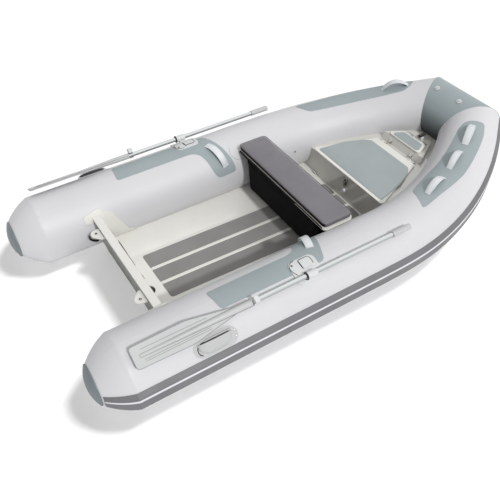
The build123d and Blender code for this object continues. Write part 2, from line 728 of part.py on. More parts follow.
BAG_HALF = 400.0
BAG_LOW = 92.0
BAG_INSET = 5.0
BAG_CORNER = 20.0
with BuildPart() as seat_bag:
    with BuildSketch(Plane.XY.offset(BAG_LOW)):
        with Locations((sum(BENCH_X) / 2, 0)):
            RectangleRounded(BENCH_X[1] - BENCH_X[0] - 2 * BAG_INSET, 2 * BAG_HALF, BAG_CORNER)
    extrude(amount=BENCH_TOP - CUSHION_T - BOARD_T - BAG_LOW)
    clear_of_tubes()
save(seat_bag.part, "seat_bag")

# ---------------------------------------------------------------- floor strips
STRIP_X = (211.0, 1640.0)
STRIPS = (137.0, 0.0, -137.0)
STRIP_W = 127.0
STRIP_T = 2.0
STRIP_CORNER = 18.0
with BuildPart() as floor_strips:
    start = Plane(
        origin=(SOLE_X, 0, SOLE_Z), x_dir=(1, 0, -SOLE_FALL), z_dir=(SOLE_FALL, 0, 1)
    )
    with BuildSketch(start):
        with Locations(*[((STRIP_X[1] - STRIP_X[0]) / 2, y) for y in STRIPS]):
            RectangleRounded(STRIP_X[1] - STRIP_X[0], STRIP_W, STRIP_CORNER)
    extrude(amount=STRIP_T)
save(floor_strips.part, "floor_strips")

# ---------------------------------------------------------------- oars and oarlocks
REACH = sqrt((OAR_Y - TUBE_Y) ** 2 + (OAR_Z - TUBE_Z) ** 2)
OUT = Vector(0, (OAR_Y - TUBE_Y) / REACH, (OAR_Z - TUBE_Z) / REACH)
BLADE_X = (OAR_TIP_X, 60.0, 330.0)
BLADE_HALF = (57.0, 62.0, 17.0)
BLADE_T = 8.0
BLADE_CORNER = 16.0
BLADE_SHOULDER = 160.0
RIB_X = 24.0              # the rib starts this far from the blade's tip
RIB_R = 5.0
SLEEVE_X = 418.0
GRIP_X = 1366.0
GRIP_R = 18.0
COLLAR_R = 21.0
COLLAR_LENGTH = 62.0
PIN_R = 6.0
BOSS_TOP = 228.0
NECK_R = 13.0
PIN_SUNK = 8.0            # the pin reaches this far into its boss
PIN_PLAY = 0.3
LOCK_GAP = 0.5

oar_plane = Plane(origin=(0, OAR_Y, OAR_Z), x_dir=(1, 0, 0), z_dir=OUT)
lock_plane = Plane(origin=(OAR_PIVOT_X, TUBE_Y, TUBE_Z), x_dir=(1, 0, 0), z_dir=OUT)


def along(x):
    """Plane across the oar at a station, its z forward."""
    return Plane(origin=(x, OAR_Y, OAR_Z), x_dir=oar_plane.y_dir, z_dir=(1, 0, 0))


with BuildPart() as port_oar_blade:
    with BuildSketch(oar_plane.offset(-BLADE_T / 2)):
        with BuildLine():
            half = [(x, y) for x, y in zip(BLADE_X, BLADE_HALF)]
            Polyline(*half, *[(x, -y) for x, y in reversed(half)], close=True)
        make_face()
        fillet(vertices().group_by(Axis.X)[0], radius=BLADE_CORNER)
        fillet(vertices().group_by(Axis.X)[-2], radius=BLADE_SHOULDER)
    extrude(amount=BLADE_T)
    with BuildSketch(along(BLADE_X[0] + RIB_X)) as tip_rib:
        Circle(RIB_R)
    with BuildSketch(along(BLADE_X[2])) as root_rib:
        Circle(GRIP_R)
    loft([tip_rib.sketch, root_rib.sketch])
    with BuildSketch(along(BLADE_X[2])):
        Circle(GRIP_R)
    extrude(amount=SLEEVE_X - BLADE_X[2])
save(port_oar_blade.part, "port_oar_blade")
save(mirrored(port_oar_blade.part), "starboard_oar_blade")

with BuildPart() as port_oar_shaft:
    with BuildSketch(along(SLEEVE_X)):
        Circle(SHAFT_R)
    extrude(amount=GRIP_X - SLEEVE_X)
save(port_oar_shaft.part, "port_oar_shaft")
save(mirrored(port_oar_shaft.part), "starboard_oar_shaft")

with BuildPart() as port_oar_grip:
    with BuildSketch(along(GRIP_X)):
        Circle(GRIP_R)
    extrude(amount=OAR_END_X - GRIP_X)
    fillet(port_oar_grip.edges().sort_by(Axis.X)[-1], radius=RIB_R)
save(port_oar_grip.part, "port_oar_grip")
save(mirrored(port_oar_grip.part), "starboard_oar_grip")

with BuildPart() as port_oar_collar:
    with BuildSketch(lock_plane.offset(BOSS_TOP - PIN_SUNK)):
        Circle(PIN_R)
    extrude(amount=REACH - BOSS_TOP + PIN_SUNK)
    with BuildSketch(lock_plane.offset(BOSS_TOP + LOCK_GAP)):
        Circle(NECK_R)
    extrude(amount=REACH - BOSS_TOP - LOCK_GAP)
    with BuildSketch(along(OAR_PIVOT_X - COLLAR_LENGTH / 2)):
        Circle(COLLAR_R)
    extrude(amount=COLLAR_LENGTH)
    with BuildSketch(along(OAR_PIVOT_X - COLLAR_LENGTH)):
        Circle(SHAFT_R)
    extrude(amount=2 * COLLAR_LENGTH, mode=Mode.SUBTRACT)
save(port_oar_collar.part, "port_oar_collar")
save(mirrored(port_oar_collar.part), "starboard_oar_collar")

LOCK_LOW = 150.0          # the base's outlines are drawn this far from the tube's axis
LOCK_PLATES = (  # x from and to, y from and to about the pin, corner radius, height
    (-82.0, 84.0, -112.0, 34.0, 34.0, 8.0),
    (-12.0, 56.0, -101.0, -45.0, 8.0, 15.0),
)
BOSS_R = 17.0
with BuildPart() as port_oarlock:
    for x_from, x_to, y_from, y_to, corner, high in LOCK_PLATES:
        with BuildPart(mode=Mode.PRIVATE) as plate:
            with BuildSketch(lock_plane.offset(LOCK_LOW)):
                with Locations(((x_from + x_to) / 2, (y_from + y_to) / 2)):
                    RectangleRounded(x_to - x_from, y_to - y_from, corner)
            extrude(amount=TUBE_R)
            with BuildSketch(Plane(origin=(0, TUBE_Y, TUBE_Z), z_dir=(1, 0, 0))):
                Circle(TUBE_R + high)
            extrude(amount=LOFT_X, mode=Mode.INTERSECT)
        add(plate.part)
    with BuildSketch(lock_plane.offset(LOCK_LOW)):
        Circle(BOSS_R)
    extrude(amount=BOSS_TOP - LOCK_LOW)
    with BuildSketch(lock_plane.offset(BOSS_TOP - PIN_SUNK - 2)):
        Circle(PIN_R + PIN_PLAY)
    extrude(amount=2 * PIN_SUNK, mode=Mode.SUBTRACT)
    add(wear_patch, mode=Mode.SUBTRACT)
    clear_of_tubes()
save(port_oarlock.part, "port_oarlock")
save(mirrored(port_oarlock.part), "starboard_oarlock")

CLIP_R = 16.0
CLIP_WALL = 4.5
CLIP_LENGTH = 26.0
CLIP_FOOT = (34.0, 30.0)
CLIP_FOOT_Y = 28.0
CLIP_CHEEK = 6.0
with BuildPart() as port_oar_clip:
    with BuildSketch(along(KEEPER_X - CLIP_LENGTH / 2)):
        Circle(CLIP_R + CLIP_WALL)
        with Locations((-CLIP_CHEEK, 0)):
            Rectangle(2 * CLIP_CHEEK, 2 * (CLIP_R + CLIP_WALL))
        with Locations((0, CLIP_FOOT_Y)):
            Rectangle(*CLIP_FOOT)
        Circle(CLIP_R, mode=Mode.SUBTRACT)
        with Locations((-CLIP_R, 0)):
            Rectangle(2 * CLIP_R, 2 * CLIP_R, mode=Mode.SUBTRACT)
    extrude(amount=CLIP_LENGTH)
    clear_of_tubes()
save(port_oar_clip.part, "port_oar_clip")
save(mirrored(port_oar_clip.part), "starboard_oar_clip")

# ---------------------------------------------------------------- latches and bow fittings
LEVER_W, LEVER_T = 14.0, 5.0
KNOB_R = 8.0
LATCHES = (  # place on the face, lean of the face, plate width, height and thickness, lever
    ((LOCKER_X, 0.0, 196.0), 0.0, 44.0, 56.0, 8.0, 62.0),
    ((2137.0, 102.0, 280.6), ANCHOR_RAKE, 26.0, 30.0, 6.0, 12.0),
    ((2137.0, -102.0, 280.6), ANCHOR_RAKE, 26.0, 30.0, 6.0, 12.0),
)
latches = []
for place, lean, wide, high, thick, lever in LATCHES:
    lean = radians(lean)
    face = Plane(origin=place, x_dir=(0, -1, 0), z_dir=(-cos(lean), 0, sin(lean)))
    with BuildPart() as latch:
        with BuildSketch(face):
            RectangleRounded(wide, high, 5)
        extrude(amount=thick)
        with BuildSketch(face.offset(thick)):
            with Locations((0, -lever / 2)):
                RectangleRounded(LEVER_W, lever, 4)
        extrude(amount=LEVER_T)
        with BuildSketch(face.offset(thick)):
            with Locations((0, -lever + KNOB_R)):
                Circle(KNOB_R)
        extrude(amount=LEVER_T + KNOB_R)
        fillet(latch.faces().sort_by(Axis(face.origin, face.z_dir))[-1].edges(), radius=KNOB_R / 2)
    latches.append(latch.part)
save(Compound(children=latches), "latches")

EYE_ANGLE = 107.0         # the bow eyes stand this far round from the front of the bow
EYES_Y = (122.0, -86.0)
EYE_HALF, EYE_HIGH, EYE_T, EYE_W = 15.0, 15.0, 4.0, 9.0
EYE_BASE = (19.0, 4.0)
EYE_EASE = 4.0
POST = ((2298.0, -24.0), 15.0, 9.0, 20.0)  # place, head and neck radius, height
fittings = []
for y in EYES_Y:
    lean = radians(EYE_ANGLE)
    outward = Vector(cos(lean), 0, sin(lean))
    foot = Vector(BOW_X, y, BOW_Z) + BOW_R * outward
    with BuildPart() as eye:
        skin = Plane(origin=foot, x_dir=(0, 1, 0), z_dir=outward)
        with BuildSketch(skin.offset(-EYE_BASE[1])):
            Circle(EYE_BASE[0])
        extrude(amount=2 * EYE_BASE[1])
        across = skin.rotated((0, 0, 90))
        add(arched_strap(across, EYE_HALF, EYE_HIGH, EYE_T, EYE_W, 0.0))
        add(TUBE_ROOM[2], mode=Mode.SUBTRACT)
    fittings.append(eye.part.solids().sort_by(SortBy.VOLUME)[-1])
(post_x, post_y), head_r, neck_r, post_h = POST
with BuildPart() as post:
    with Locations((post_x, post_y, ANCHOR_TOP)):
        Cylinder(neck_r, post_h, align=(Align.CENTER, Align.CENTER, Align.MIN))
    with Locations((post_x, post_y, ANCHOR_TOP + post_h)):
        Cylinder(head_r, post_h / 2, align=(Align.CENTER, Align.CENTER, Align.MAX))
    fillet(post.faces().sort_by(Axis.Z)[-1].edges(), radius=EYE_EASE)
fittings.append(post.part)
save(Compound(children=fittings), "bow_fittings")
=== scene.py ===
"""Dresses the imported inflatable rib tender: fabrics, strakes, patches, handles, seat and fittings.

Metres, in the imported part's frame: +X forward, +Y port, +Z up, the waterline at z = 0.
"""
import json
from math import cos, degrees, pi, radians, sin

import bmesh
import bpy
from mathutils import Matrix, Vector

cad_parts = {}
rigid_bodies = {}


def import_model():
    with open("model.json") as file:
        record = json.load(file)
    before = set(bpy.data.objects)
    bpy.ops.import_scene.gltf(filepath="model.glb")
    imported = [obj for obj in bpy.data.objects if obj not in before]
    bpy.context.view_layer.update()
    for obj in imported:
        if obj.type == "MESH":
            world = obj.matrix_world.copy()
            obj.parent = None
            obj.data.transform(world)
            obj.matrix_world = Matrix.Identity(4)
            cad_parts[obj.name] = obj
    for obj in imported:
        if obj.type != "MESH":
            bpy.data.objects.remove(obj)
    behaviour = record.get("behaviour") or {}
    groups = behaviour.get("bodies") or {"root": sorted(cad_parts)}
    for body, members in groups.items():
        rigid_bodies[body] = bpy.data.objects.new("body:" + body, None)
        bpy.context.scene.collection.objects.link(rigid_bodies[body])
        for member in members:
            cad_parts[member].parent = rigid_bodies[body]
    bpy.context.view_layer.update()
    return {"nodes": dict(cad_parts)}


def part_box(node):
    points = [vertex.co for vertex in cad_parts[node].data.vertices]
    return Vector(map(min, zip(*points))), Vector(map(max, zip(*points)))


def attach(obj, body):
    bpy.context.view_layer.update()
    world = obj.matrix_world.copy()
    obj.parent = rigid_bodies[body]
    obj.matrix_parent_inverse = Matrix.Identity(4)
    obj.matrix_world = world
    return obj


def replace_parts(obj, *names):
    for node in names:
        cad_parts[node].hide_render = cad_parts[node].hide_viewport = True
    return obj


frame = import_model()
NODES = frame["nodes"]

# ---------------------------------------------------------------- camera
CAMERA_AT = (-0.71747, -2.52686, 2.87188)
YAW, PITCH, ROLL = radians(57.637), radians(-44.4215), radians(-0.0613)
FOCAL_PIXELS = 632.44
FRAME_PIXELS = 500
SENSOR = 36.0


def aim(yaw, pitch, roll):
    """Rotation of a camera that looks along a heading, tipped and rolled."""
    ahead = Vector((cos(pitch) * cos(yaw), cos(pitch) * sin(yaw), sin(pitch)))
    level = Vector((sin(yaw), -cos(yaw), 0.0))
    over = level.cross(ahead)
    right = level * cos(roll) + over * sin(roll)
    up = over * cos(roll) - level * sin(roll)
    return Matrix((right, up, -ahead)).transposed()


camera_data = bpy.data.cameras.new("camera")
camera_data.sensor_fit = "HORIZONTAL"
camera_data.sensor_width = SENSOR
camera_data.lens = FOCAL_PIXELS * SENSOR / FRAME_PIXELS
camera = bpy.data.objects.new("camera", camera_data)
bpy.context.scene.collection.objects.link(camera)
camera.matrix_world = Matrix.Translation(CAMERA_AT) @ aim(YAW, PITCH, ROLL).to_4x4()
bpy.context.scene.camera = camera

# ---------------------------------------------------------------- light and floor
SKY_FILL = 0.26           # what the sky gives to matt surfaces; it is white to the eye and in gloss
FLOOR_HALF = 40.0
PANELS = (  # name, comes from, degrees across, strength, lights the floor, casts shadows
    ("floor_panel", (0.40, -0.15, 0.88), 12.0, 1.95, True, True),
    ("floor_fill", (0.0, 0.0, 1.0), 20.0, 1.12, True, False),
    ("key_panel", (0.0, -0.74, 0.67), 3.5, 1.78, False, True),
    ("top_panel", (0.25, -0.12, 1.0), 120.0, 1.10, False, True),
    ("bow_panel", (0.9, 0.1, 0.45), 100.0, 0.35, False, True),
)

world = bpy.data.worlds.new("studio")
world.use_nodes = True
sky = world.node_tree.nodes["Background"]
sky.inputs["Color"].default_value = (1, 1, 1, 1)
rays = world.node_tree.nodes.new("ShaderNodeLightPath")
dim = world.node_tree.nodes.new("ShaderNodeMapRange")
dim.inputs["To Min"].default_value = 1.0
dim.inputs["To Max"].default_value = SKY_FILL
world.node_tree.links.new(rays.outputs["Is Diffuse Ray"], dim.inputs["Value"])
world.node_tree.links.new(dim.outputs["Result"], sky.inputs["Strength"])
bpy.context.scene.world = world
bpy.context.scene.view_settings.view_transform = "Standard"
LIT = {on_floor: bpy.data.collections.new(name) for on_floor, name in
       ((True, "lit_by_floor_panel"), (False, "lit_by_boat_panels"))}


def panel(name, source, spread, strength, on_floor, shades):
    """Soft sun from a direction; it lights either the floor or the boat."""
    data = bpy.data.lights.new(name, "SUN")
    data.energy = strength
    data.angle = radians(spread)
    data.use_shadow = shades
    light = bpy.data.objects.new(name, data)
    light.rotation_mode = "QUATERNION"
    light.rotation_quaternion = Vector(source).to_track_quat("Z", "Y")
    light.light_linking.receiver_collection = LIT[on_floor]
    bpy.context.scene.collection.objects.link(light)


for row in PANELS:
    panel(*row)


# ---------------------------------------------------------------- shader node groups
class Wiring:
    """Small helper that adds and links nodes in one tree."""

    def __init__(self, tree):
        self.tree = tree

    def add(self, kind, settings=None, **sockets):
        node = self.tree.nodes.new(kind)
        for name, value in (settings or {}).items():
            setattr(node, name, value)
        for name, value in sockets.items():
            self.feed(node, name.replace("_", " "), value)
        return node

    def feed(self, node, name, value):
        socket = node.inputs[int(name[1:])] if name[1:].isdigit() else node.inputs[name]
        if isinstance(value, bpy.types.NodeSocket):
            self.tree.links.new(value, socket)
        else:
            socket.default_value = value

    def math(self, operation, a, b=0.0):
        return self.add("ShaderNodeMath", {"operation": operation}, i0=a, i1=b).outputs[0]

    def mix(self, factor, a, b):
        node = self.add("ShaderNodeMix", {"data_type": "RGBA"}, i0=factor, i6=a, i7=b)
        return node.outputs[2]

    def remap(self, value, low, high, to_low, to_high):
        node = self.add("ShaderNodeMapRange", None, Value=value, From_Min=low, From_Max=high,
                        To_Min=to_low, To_Max=to_high)
        return node.outputs[0]


KINDS = {"value": "NodeSocketFloat", "colour": "NodeSocketColor"}


def shader_group(name, inputs, outputs):
    """Empty group with named inputs and outputs; returns its wiring and both end nodes."""
    tree = bpy.data.node_groups.new(name, "ShaderNodeTree")
    for label, kind in inputs:
        tree.interface.new_socket(label, in_out="INPUT", socket_type=KINDS[kind])
    for label, kind in outputs:
        tree.interface.new_socket(label, in_out="OUTPUT", socket_type=KINDS[kind])
    wires = Wiring(tree)
    return wires, wires.add("NodeGroupInput"), wires.add("NodeGroupOutput")


LOOK = (("Color", "colour"), ("Roughness", "value"), ("Height", "value"))
TONES = (("Light Tone", "colour"), ("Deep Tone", "colour"))
GLOSS = (("Smooth", "value"), ("Rough", "value"))

# coated cloth: a fine weave under a smooth coat, slightly mottled
w, given, out = shader_group(
    "coated_weave", (*TONES, ("Threads", "value"), ("Mottle", "value"), *GLOSS), LOOK)
spot = w.add("ShaderNodeTexCoord").outputs["Object"]
cloud = w.add("ShaderNodeTexNoise", None, Vector=spot, Scale=given.outputs["Mottle"],
              Detail=4.0, Roughness=0.55).outputs["Fac"]
warp, weft, fill = (w.add("ShaderNodeTexWave", {"bands_direction": axis}, Vector=spot,
                          Scale=given.outputs["Threads"]).outputs["Fac"] for axis in "XYZ")
threads = w.math("MULTIPLY", w.math("ADD", w.math("ADD", warp, weft), fill), 0.333)
tone = w.remap(cloud, 0.3, 0.7, 0.0, 1.0)
w.feed(out, "Color", w.mix(tone, given.outputs["Light Tone"], given.outputs["Deep Tone"]))
w.feed(out, "Roughness", w.remap(cloud, 0.3, 0.7, given.outputs["Smooth"], given.outputs["Rough"]))
w.feed(out, "Height", threads)

# moulded skin: plastic or laminate with a faint orange peel and handling marks
w, given, out = shader_group("moulded_skin", (*TONES, ("Grain", "value"), *GLOSS), LOOK)
spot = w.add("ShaderNodeTexCoord").outputs["Object"]
wide = w.add("ShaderNodeTexNoise", None, Vector=spot, Scale=5.0, Detail=5.0).outputs["Fac"]
peel = w.add("ShaderNodeTexNoise", None, Vector=spot, Scale=given.outputs["Grain"],
             Detail=2.0).outputs["Fac"]
w.feed(out, "Color", w.mix(w.remap(wide, 0.35, 0.7, 0.0, 1.0),
                           given.outputs["Light Tone"], given.outputs["Deep Tone"]))
w.feed(out, "Roughness", w.remap(wide, 0.3, 0.7, given.outputs["Smooth"], given.outputs["Rough"]))
w.feed(out, "Height", peel)

# drawn metal: long fine scratches along one axis
w, given, out = shader_group("drawn_metal", (*TONES, ("Lines", "value"), *GLOSS), LOOK)
spot = w.add("ShaderNodeTexCoord").outputs["Object"]
drawn = w.add("ShaderNodeMapping", None, Vector=spot, Scale=(0.02, 1.0, 1.0)).outputs[0]
lines = w.add("ShaderNodeTexNoise", None, Vector=drawn, Scale=given.outputs["Lines"],
              Detail=3.0).outputs["Fac"]
w.feed(out, "Color", w.mix(lines, given.outputs["Light Tone"], given.outputs["Deep Tone"]))
w.feed(out, "Roughness", w.remap(lines, 0.3, 0.7, given.outputs["Smooth"], given.outputs["Rough"]))
w.feed(out, "Height", lines)


def tint(red, green, blue):
    """Linear colour from 0-255 screen values."""
    return tuple(((c / 255 + 0.055) / 1.055) ** 2.4 for c in (red, green, blue)) + (1.0,)


COAT_ROUGH = 0.08
# name: group, its own inputs, light tone, deep tone, gloss range, relief, metal, coat
FINISHES = {
    "tube_cloth": ("coated_weave", {"Threads": 260.0, "Mottle": 1.6},
                   (206, 206, 208), (201, 201, 204), (0.42, 0.52), 0.00004, 0.0, 0.0),
    "patch_cloth": ("coated_weave", {"Threads": 260.0, "Mottle": 3.0},
                    (150, 160, 163), (145, 155, 158), (0.50, 0.60), 0.00005, 0.0, 0.0),
    "wrap_cloth": ("coated_weave", {"Threads": 260.0, "Mottle": 3.0},
                   (150, 160, 163), (145, 155, 158), (0.50, 0.60), 0.00005, 0.0, 0.0),
    # the patch cloth made darker for the stern caps: painted shade, as they face aft away from the light
    "shaded_cap_cloth": ("coated_weave", {"Threads": 260.0, "Mottle": 3.0},
                  (112, 121, 126), (106, 115, 120), (0.45, 0.55), 0.00005, 0.0, 0.0),
    "strake_rubber": ("moulded_skin", {"Grain": 900.0},
                      (106, 106, 109), (100, 100, 103), (0.45, 0.58), 0.00004, 0.0, 0.0),
    "line_rubber": ("moulded_skin", {"Grain": 900.0},
                    (214, 214, 219), (208, 208, 213), (0.40, 0.50), 0.00003, 0.0, 0.0),
    "liner_gloss": ("moulded_skin", {"Grain": 160.0},
                    (220, 219, 214), (215, 214, 208), (0.16, 0.26), 0.00006, 0.0, 0.3),
    # the bow deck's glossy gelcoat, toned darker than the liner's as painted shade
    "shaded_face_gloss": ("moulded_skin", {"Grain": 160.0},
                   (203, 201, 194), (197, 195, 188), (0.08, 0.13), 0.00003, 0.0, 1.0),
    "hull_gloss": ("moulded_skin", {"Grain": 160.0},
                   (224, 224, 221), (219, 219, 216), (0.12, 0.22), 0.00006, 0.0, 0.3),
    "deck_strip": ("moulded_skin", {"Grain": 1400.0},
                   (137, 136, 134), (130, 129, 127), (0.72, 0.85), 0.00025, 0.0, 0.0),
    "deck_pad": ("moulded_skin", {"Grain": 1200.0},
                 (158, 166, 168), (153, 161, 163), (0.70, 0.82), 0.00015, 0.0, 0.0),
    "seat_board": ("moulded_skin", {"Grain": 300.0},
                   (222, 220, 214), (214, 212, 206), (0.35, 0.5), 0.00005, 0.0, 0.0),
    "seat_vinyl": ("coated_weave", {"Threads": 180.0, "Mottle": 6.0},
                   (113, 111, 115), (108, 106, 110), (0.5, 0.62), 0.00008, 0.0, 0.0),
    # the seat's vinyl made darker: painted shade on the cushion's sides, also taken by its piping and
    # the flap's stitches
    "seat_vinyl_shaded": ("coated_weave", {"Threads": 180.0, "Mottle": 6.0},
                  (96, 94, 98), (90, 88, 92), (0.55, 0.65), 0.00008, 0.0, 0.0),
    "bag_cloth": ("coated_weave", {"Threads": 150.0, "Mottle": 8.0},
                  (8, 8, 9), (5, 5, 6), (0.8, 0.95), 0.0002, 0.0, 0.0),
    "oar_plastic": ("moulded_skin", {"Grain": 700.0},
                    (188, 189, 189), (182, 183, 183), (0.34, 0.46), 0.00005, 0.0, 0.0),
    "oar_metal": ("drawn_metal", {"Lines": 700.0},
                  (190, 193, 193), (168, 171, 171), (0.14, 0.24), 0.00002, 1.0, 0.0),
    "carry_plastic": ("moulded_skin", {"Grain": 700.0},
                      (184, 185, 185), (179, 180, 180), (0.40, 0.50), 0.00004, 0.0, 0.0),
    "fitting_plastic": ("moulded_skin", {"Grain": 700.0},
                        (208, 210, 210), (201, 203, 203), (0.34, 0.46), 0.00004, 0.0, 0.0),
    "bright_steel": ("drawn_metal", {"Lines": 500.0},
                     (200, 199, 195), (176, 175, 171), (0.12, 0.24), 0.00001, 1.0, 0.0),
    # black rubber for the bow roller and the eye bushes, also painted shade in the carry handles' mouths
    # and under the transom ears
    "black_rubber_and_shade": ("moulded_skin", {"Grain": 900.0},
                    (30, 30, 31), (22, 22, 23), (0.5, 0.65), 0.00005, 0.0, 0.0),
    # the transom's aft cover plate, its grey-green darkened to the tone of the shaded aft face: partly
    # its own colour, partly painted shade
    "shaded_cover_plate": ("moulded_skin", {"Grain": 500.0},
                    (104, 106, 97), (96, 98, 90), (0.4, 0.5), 0.00004, 0.0, 0.0),
    "strap_cloth": ("coated_weave", {"Threads": 420.0, "Mottle": 9.0},
                    (218, 221, 224), (212, 215, 218), (0.45, 0.55), 0.00006, 0.0, 0.0),
    "edge_line": ("moulded_skin", {"Grain": 700.0},
                  (138, 140, 140), (130, 132, 132), (0.4, 0.5), 0.00003, 0.0, 0.0),
    # near black: painted shade in the gutters, sump, handle slits and drain holes, and dark trim for the
    # oar collars' rings and the oarlocks' edge lines
    "slot_shade_and_dark_trim": ("moulded_skin", {"Grain": 700.0},
                  (38, 39, 38), (30, 31, 30), (0.5, 0.65), 0.00003, 0.0, 0.0),
    "studio_floor": ("moulded_skin", {"Grain": 60.0},
                     (246, 246, 246), (245, 245, 245), (0.9, 0.95), 0.0, 0.0, 0.0),
}
USUAL_MIRROR = 0.5
DULL = {"bag_cloth": 0.12, "deck_strip": 0.35}   # finishes that mirror less than is usual
# painted shade in the crease at the foot of the bow cross tube
PAINTED_CREASE_SHADE = {"wrap_cloth": ((40, 46, 48), 0.31, 0.49, 2.47, 2.52)}  # deep tone, heights, stations


def paint_crease_shade(wires, colour, deep, low, high, inner, outer):
    """Paints shade into a colour towards the foot of the bow cross tube, on its side inside the boat,
    where the crease lies.
    """
    place = wires.add("ShaderNodeTexCoord").outputs["Object"]
    spot = wires.add("ShaderNodeSeparateXYZ", None, Vector=place)
    down = wires.remap(spot.outputs["Z"], low, high, 1.0, 0.0)
    inside = wires.remap(spot.outputs["X"], inner, outer, 1.0, 0.0)
    return wires.mix(wires.math("MULTIPLY", down, inside), colour, tint(*deep))


def finish_material(name):
    """Builds one material of the table on its shared group."""
    kind, own, light, deep, gloss, relief, metal, coat = FINISHES[name]
    material = bpy.data.materials.new(name)
    material.use_nodes = True
    wires = Wiring(material.node_tree)
    shader = material.node_tree.nodes["Principled BSDF"]
    look = wires.add("ShaderNodeGroup", {"node_tree": bpy.data.node_groups[kind]})
    for label, value in {
        **own, "Light Tone": tint(*light), "Deep Tone": tint(*deep),
        "Smooth": gloss[0], "Rough": gloss[1],
    }.items():
        look.inputs[label].default_value = value
    colour = look.outputs["Color"]
    # the wrap cloth gets painted shade in its crease
    if name in PAINTED_CREASE_SHADE:
        colour = paint_crease_shade(wires, colour, *PAINTED_CREASE_SHADE[name])
    wires.feed(shader, "Base Color", colour)
    wires.feed(shader, "Roughness", look.outputs["Roughness"])
    if relief:
        bump = wires.add("ShaderNodeBump", None, Height=look.outputs["Height"],
                         Distance=relief, Strength=1.0)
        wires.feed(shader, "Normal", bump.outputs[0])
    shader.inputs["Metallic"].default_value = metal
    shader.inputs["Specular IOR Level"].default_value = DULL.get(name, USUAL_MIRROR)
    shader.inputs["Coat Weight"].default_value = coat
    shader.inputs["Coat Roughness"].default_value = COAT_ROUGH
    return material


MATERIALS = {name: finish_material(name) for name in FINISHES}
DRESS = (  # ending of a node's name, its material
    ("tube", "tube_cloth"), ("bow_tube", "wrap_cloth"), ("stern_cap", "shaded_cap_cloth"),
    ("strake", "strake_rubber"), ("hull", "hull_gloss"), ("sole", "liner_gloss"),
    ("bow_deck", "shaded_face_gloss"), ("transom", "liner_gloss"), ("lid", "liner_gloss"),
    ("pad", "deck_pad"), ("floor_strips", "deck_strip"), ("hinges", "bright_steel"),
    ("bench_board", "seat_board"), ("bench_cushion", "seat_vinyl"), ("seat_bag", "bag_cloth"),
    ("oar_blade", "oar_plastic"), ("oar_grip", "oar_plastic"), ("oar_shaft", "oar_metal"),
    ("oar_collar", "fitting_plastic"), ("oarlock", "fitting_plastic"),
    ("oar_clip", "fitting_plastic"), ("patches", "patch_cloth"), ("stripes", "line_rubber"),
    ("transom_cover", "shaded_cover_plate"), ("knees", "liner_gloss"), ("grab_handles", "strap_cloth"),
    ("carry_handle", "fitting_plastic"), ("bow_fittings", "fitting_plastic"),
    ("latches", "bright_steel"),
)
for name, node in NODES.items():
    finish = [look for ending, look in DRESS if name.endswith(ending)][-1]
    node.data.materials.clear()
    node.data.materials.append(MATERIALS[finish])

# ---------------------------------------------------------------- making pieces
SIDES = ((1, "port"), (-1, "starboard"))
CREASE = radians(35)


def add_piece(name, form, finish, body="root"):
    """New object from a bmesh, with its finish and body."""
    bmesh.ops.recalc_face_normals(form, faces=form.faces[:])
    mesh = bpy.data.meshes.new(name)
    form.to_mesh(mesh)
    form.free()
    return add_mesh(name, mesh, finish, body)


def add_mesh(name, mesh, finish, body="root"):
    """New object from a mesh, with its finish and body."""
    mesh.polygons.foreach_set("use_smooth", [True] * len(mesh.polygons))
    mesh.set_sharp_from_angle(angle=CREASE)
    mesh.materials.clear()
    mesh.materials.append(MATERIALS[finish])
    thing = bpy.data.objects.new(name, mesh)
    bpy.context.scene.collection.objects.link(thing)
    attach(thing, body)
    return thing


def join_rings(form, rings):
    """Skins a closed form through rings of as many points each, and closes both ends."""
    for low, up in zip(rings, rings[1:]):
        for n in range(len(low)):
            m = (n + 1) % len(low)
            form.faces.new((low[n], low[m], up[m], up[n]))
    form.faces.new(rings[0])
    form.faces.new(rings[-1])


CORD_FACETS = 3           # bevel resolution of the round cords


def cord_form(paths, radius, cyclic=False):
    """Mesh of round cords through lists of points."""
    curve = bpy.data.curves.new("cord", "CURVE")
    curve.dimensions = "3D"
    curve.bevel_depth = radius
    curve.bevel_resolution = CORD_FACETS
    curve.use_fill_caps = not cyclic
    for path in paths:
        spline = curve.splines.new("POLY")
        spline.points.add(len(path) - 1)
        for point, spot in zip(spline.points, path):
            point.co = (*spot, 1.0)
        spline.use_cyclic_u = cyclic
    holder = bpy.data.objects.new("cord", curve)
    mesh = bpy.data.meshes.new_from_object(holder)
    bpy.data.objects.remove(holder)
    bpy.data.curves.remove(curve)
    return mesh


def row_tree():
    """Geometry tree that sets domed heads or stitches along lines, one every pitch."""
    tree = bpy.data.node_groups.new("heads_in_rows", "GeometryNodeTree")
    for label, kind in (("Lines", "Geometry"), ("Pitch", "Float"), ("Half Length", "Float"),
                        ("Half Width", "Float"), ("Finish", "Material")):
        tree.interface.new_socket(label, in_out="INPUT", socket_type="NodeSocket" + kind)
    tree.interface.new_socket("Heads", in_out="OUTPUT", socket_type="NodeSocketGeometry")
    wires = Wiring(tree)
    given, out = wires.add("NodeGroupInput"), wires.add("NodeGroupOutput")
    lines = wires.add("GeometryNodeMeshToCurve", None, Mesh=given.outputs["Lines"])
    spots = wires.add("GeometryNodeCurveToPoints", {"mode": "LENGTH"},
                      Curve=lines.outputs[0], Length=given.outputs["Pitch"])
    head = wires.add("GeometryNodeMeshUVSphere", None, Segments=12, Rings=8, Radius=1.0)
    size = wires.add("ShaderNodeCombineXYZ", None, X=given.outputs["Half Width"],
                     Y=given.outputs["Half Width"], Z=given.outputs["Half Length"])
    placed = wires.add("GeometryNodeInstanceOnPoints", None, Points=spots.outputs["Points"],
                       Instance=head.outputs["Mesh"], Rotation=spots.outputs["Rotation"],
                       Scale=size.outputs[0])
    real = wires.add("GeometryNodeRealizeInstances", None, Geometry=placed.outputs[0])
    done = wires.add("GeometryNodeSetMaterial", None, Geometry=real.outputs[0],
                     Material=given.outputs["Finish"])
    wires.feed(out, "Heads", done.outputs[0])
    return tree


ROWS = row_tree()


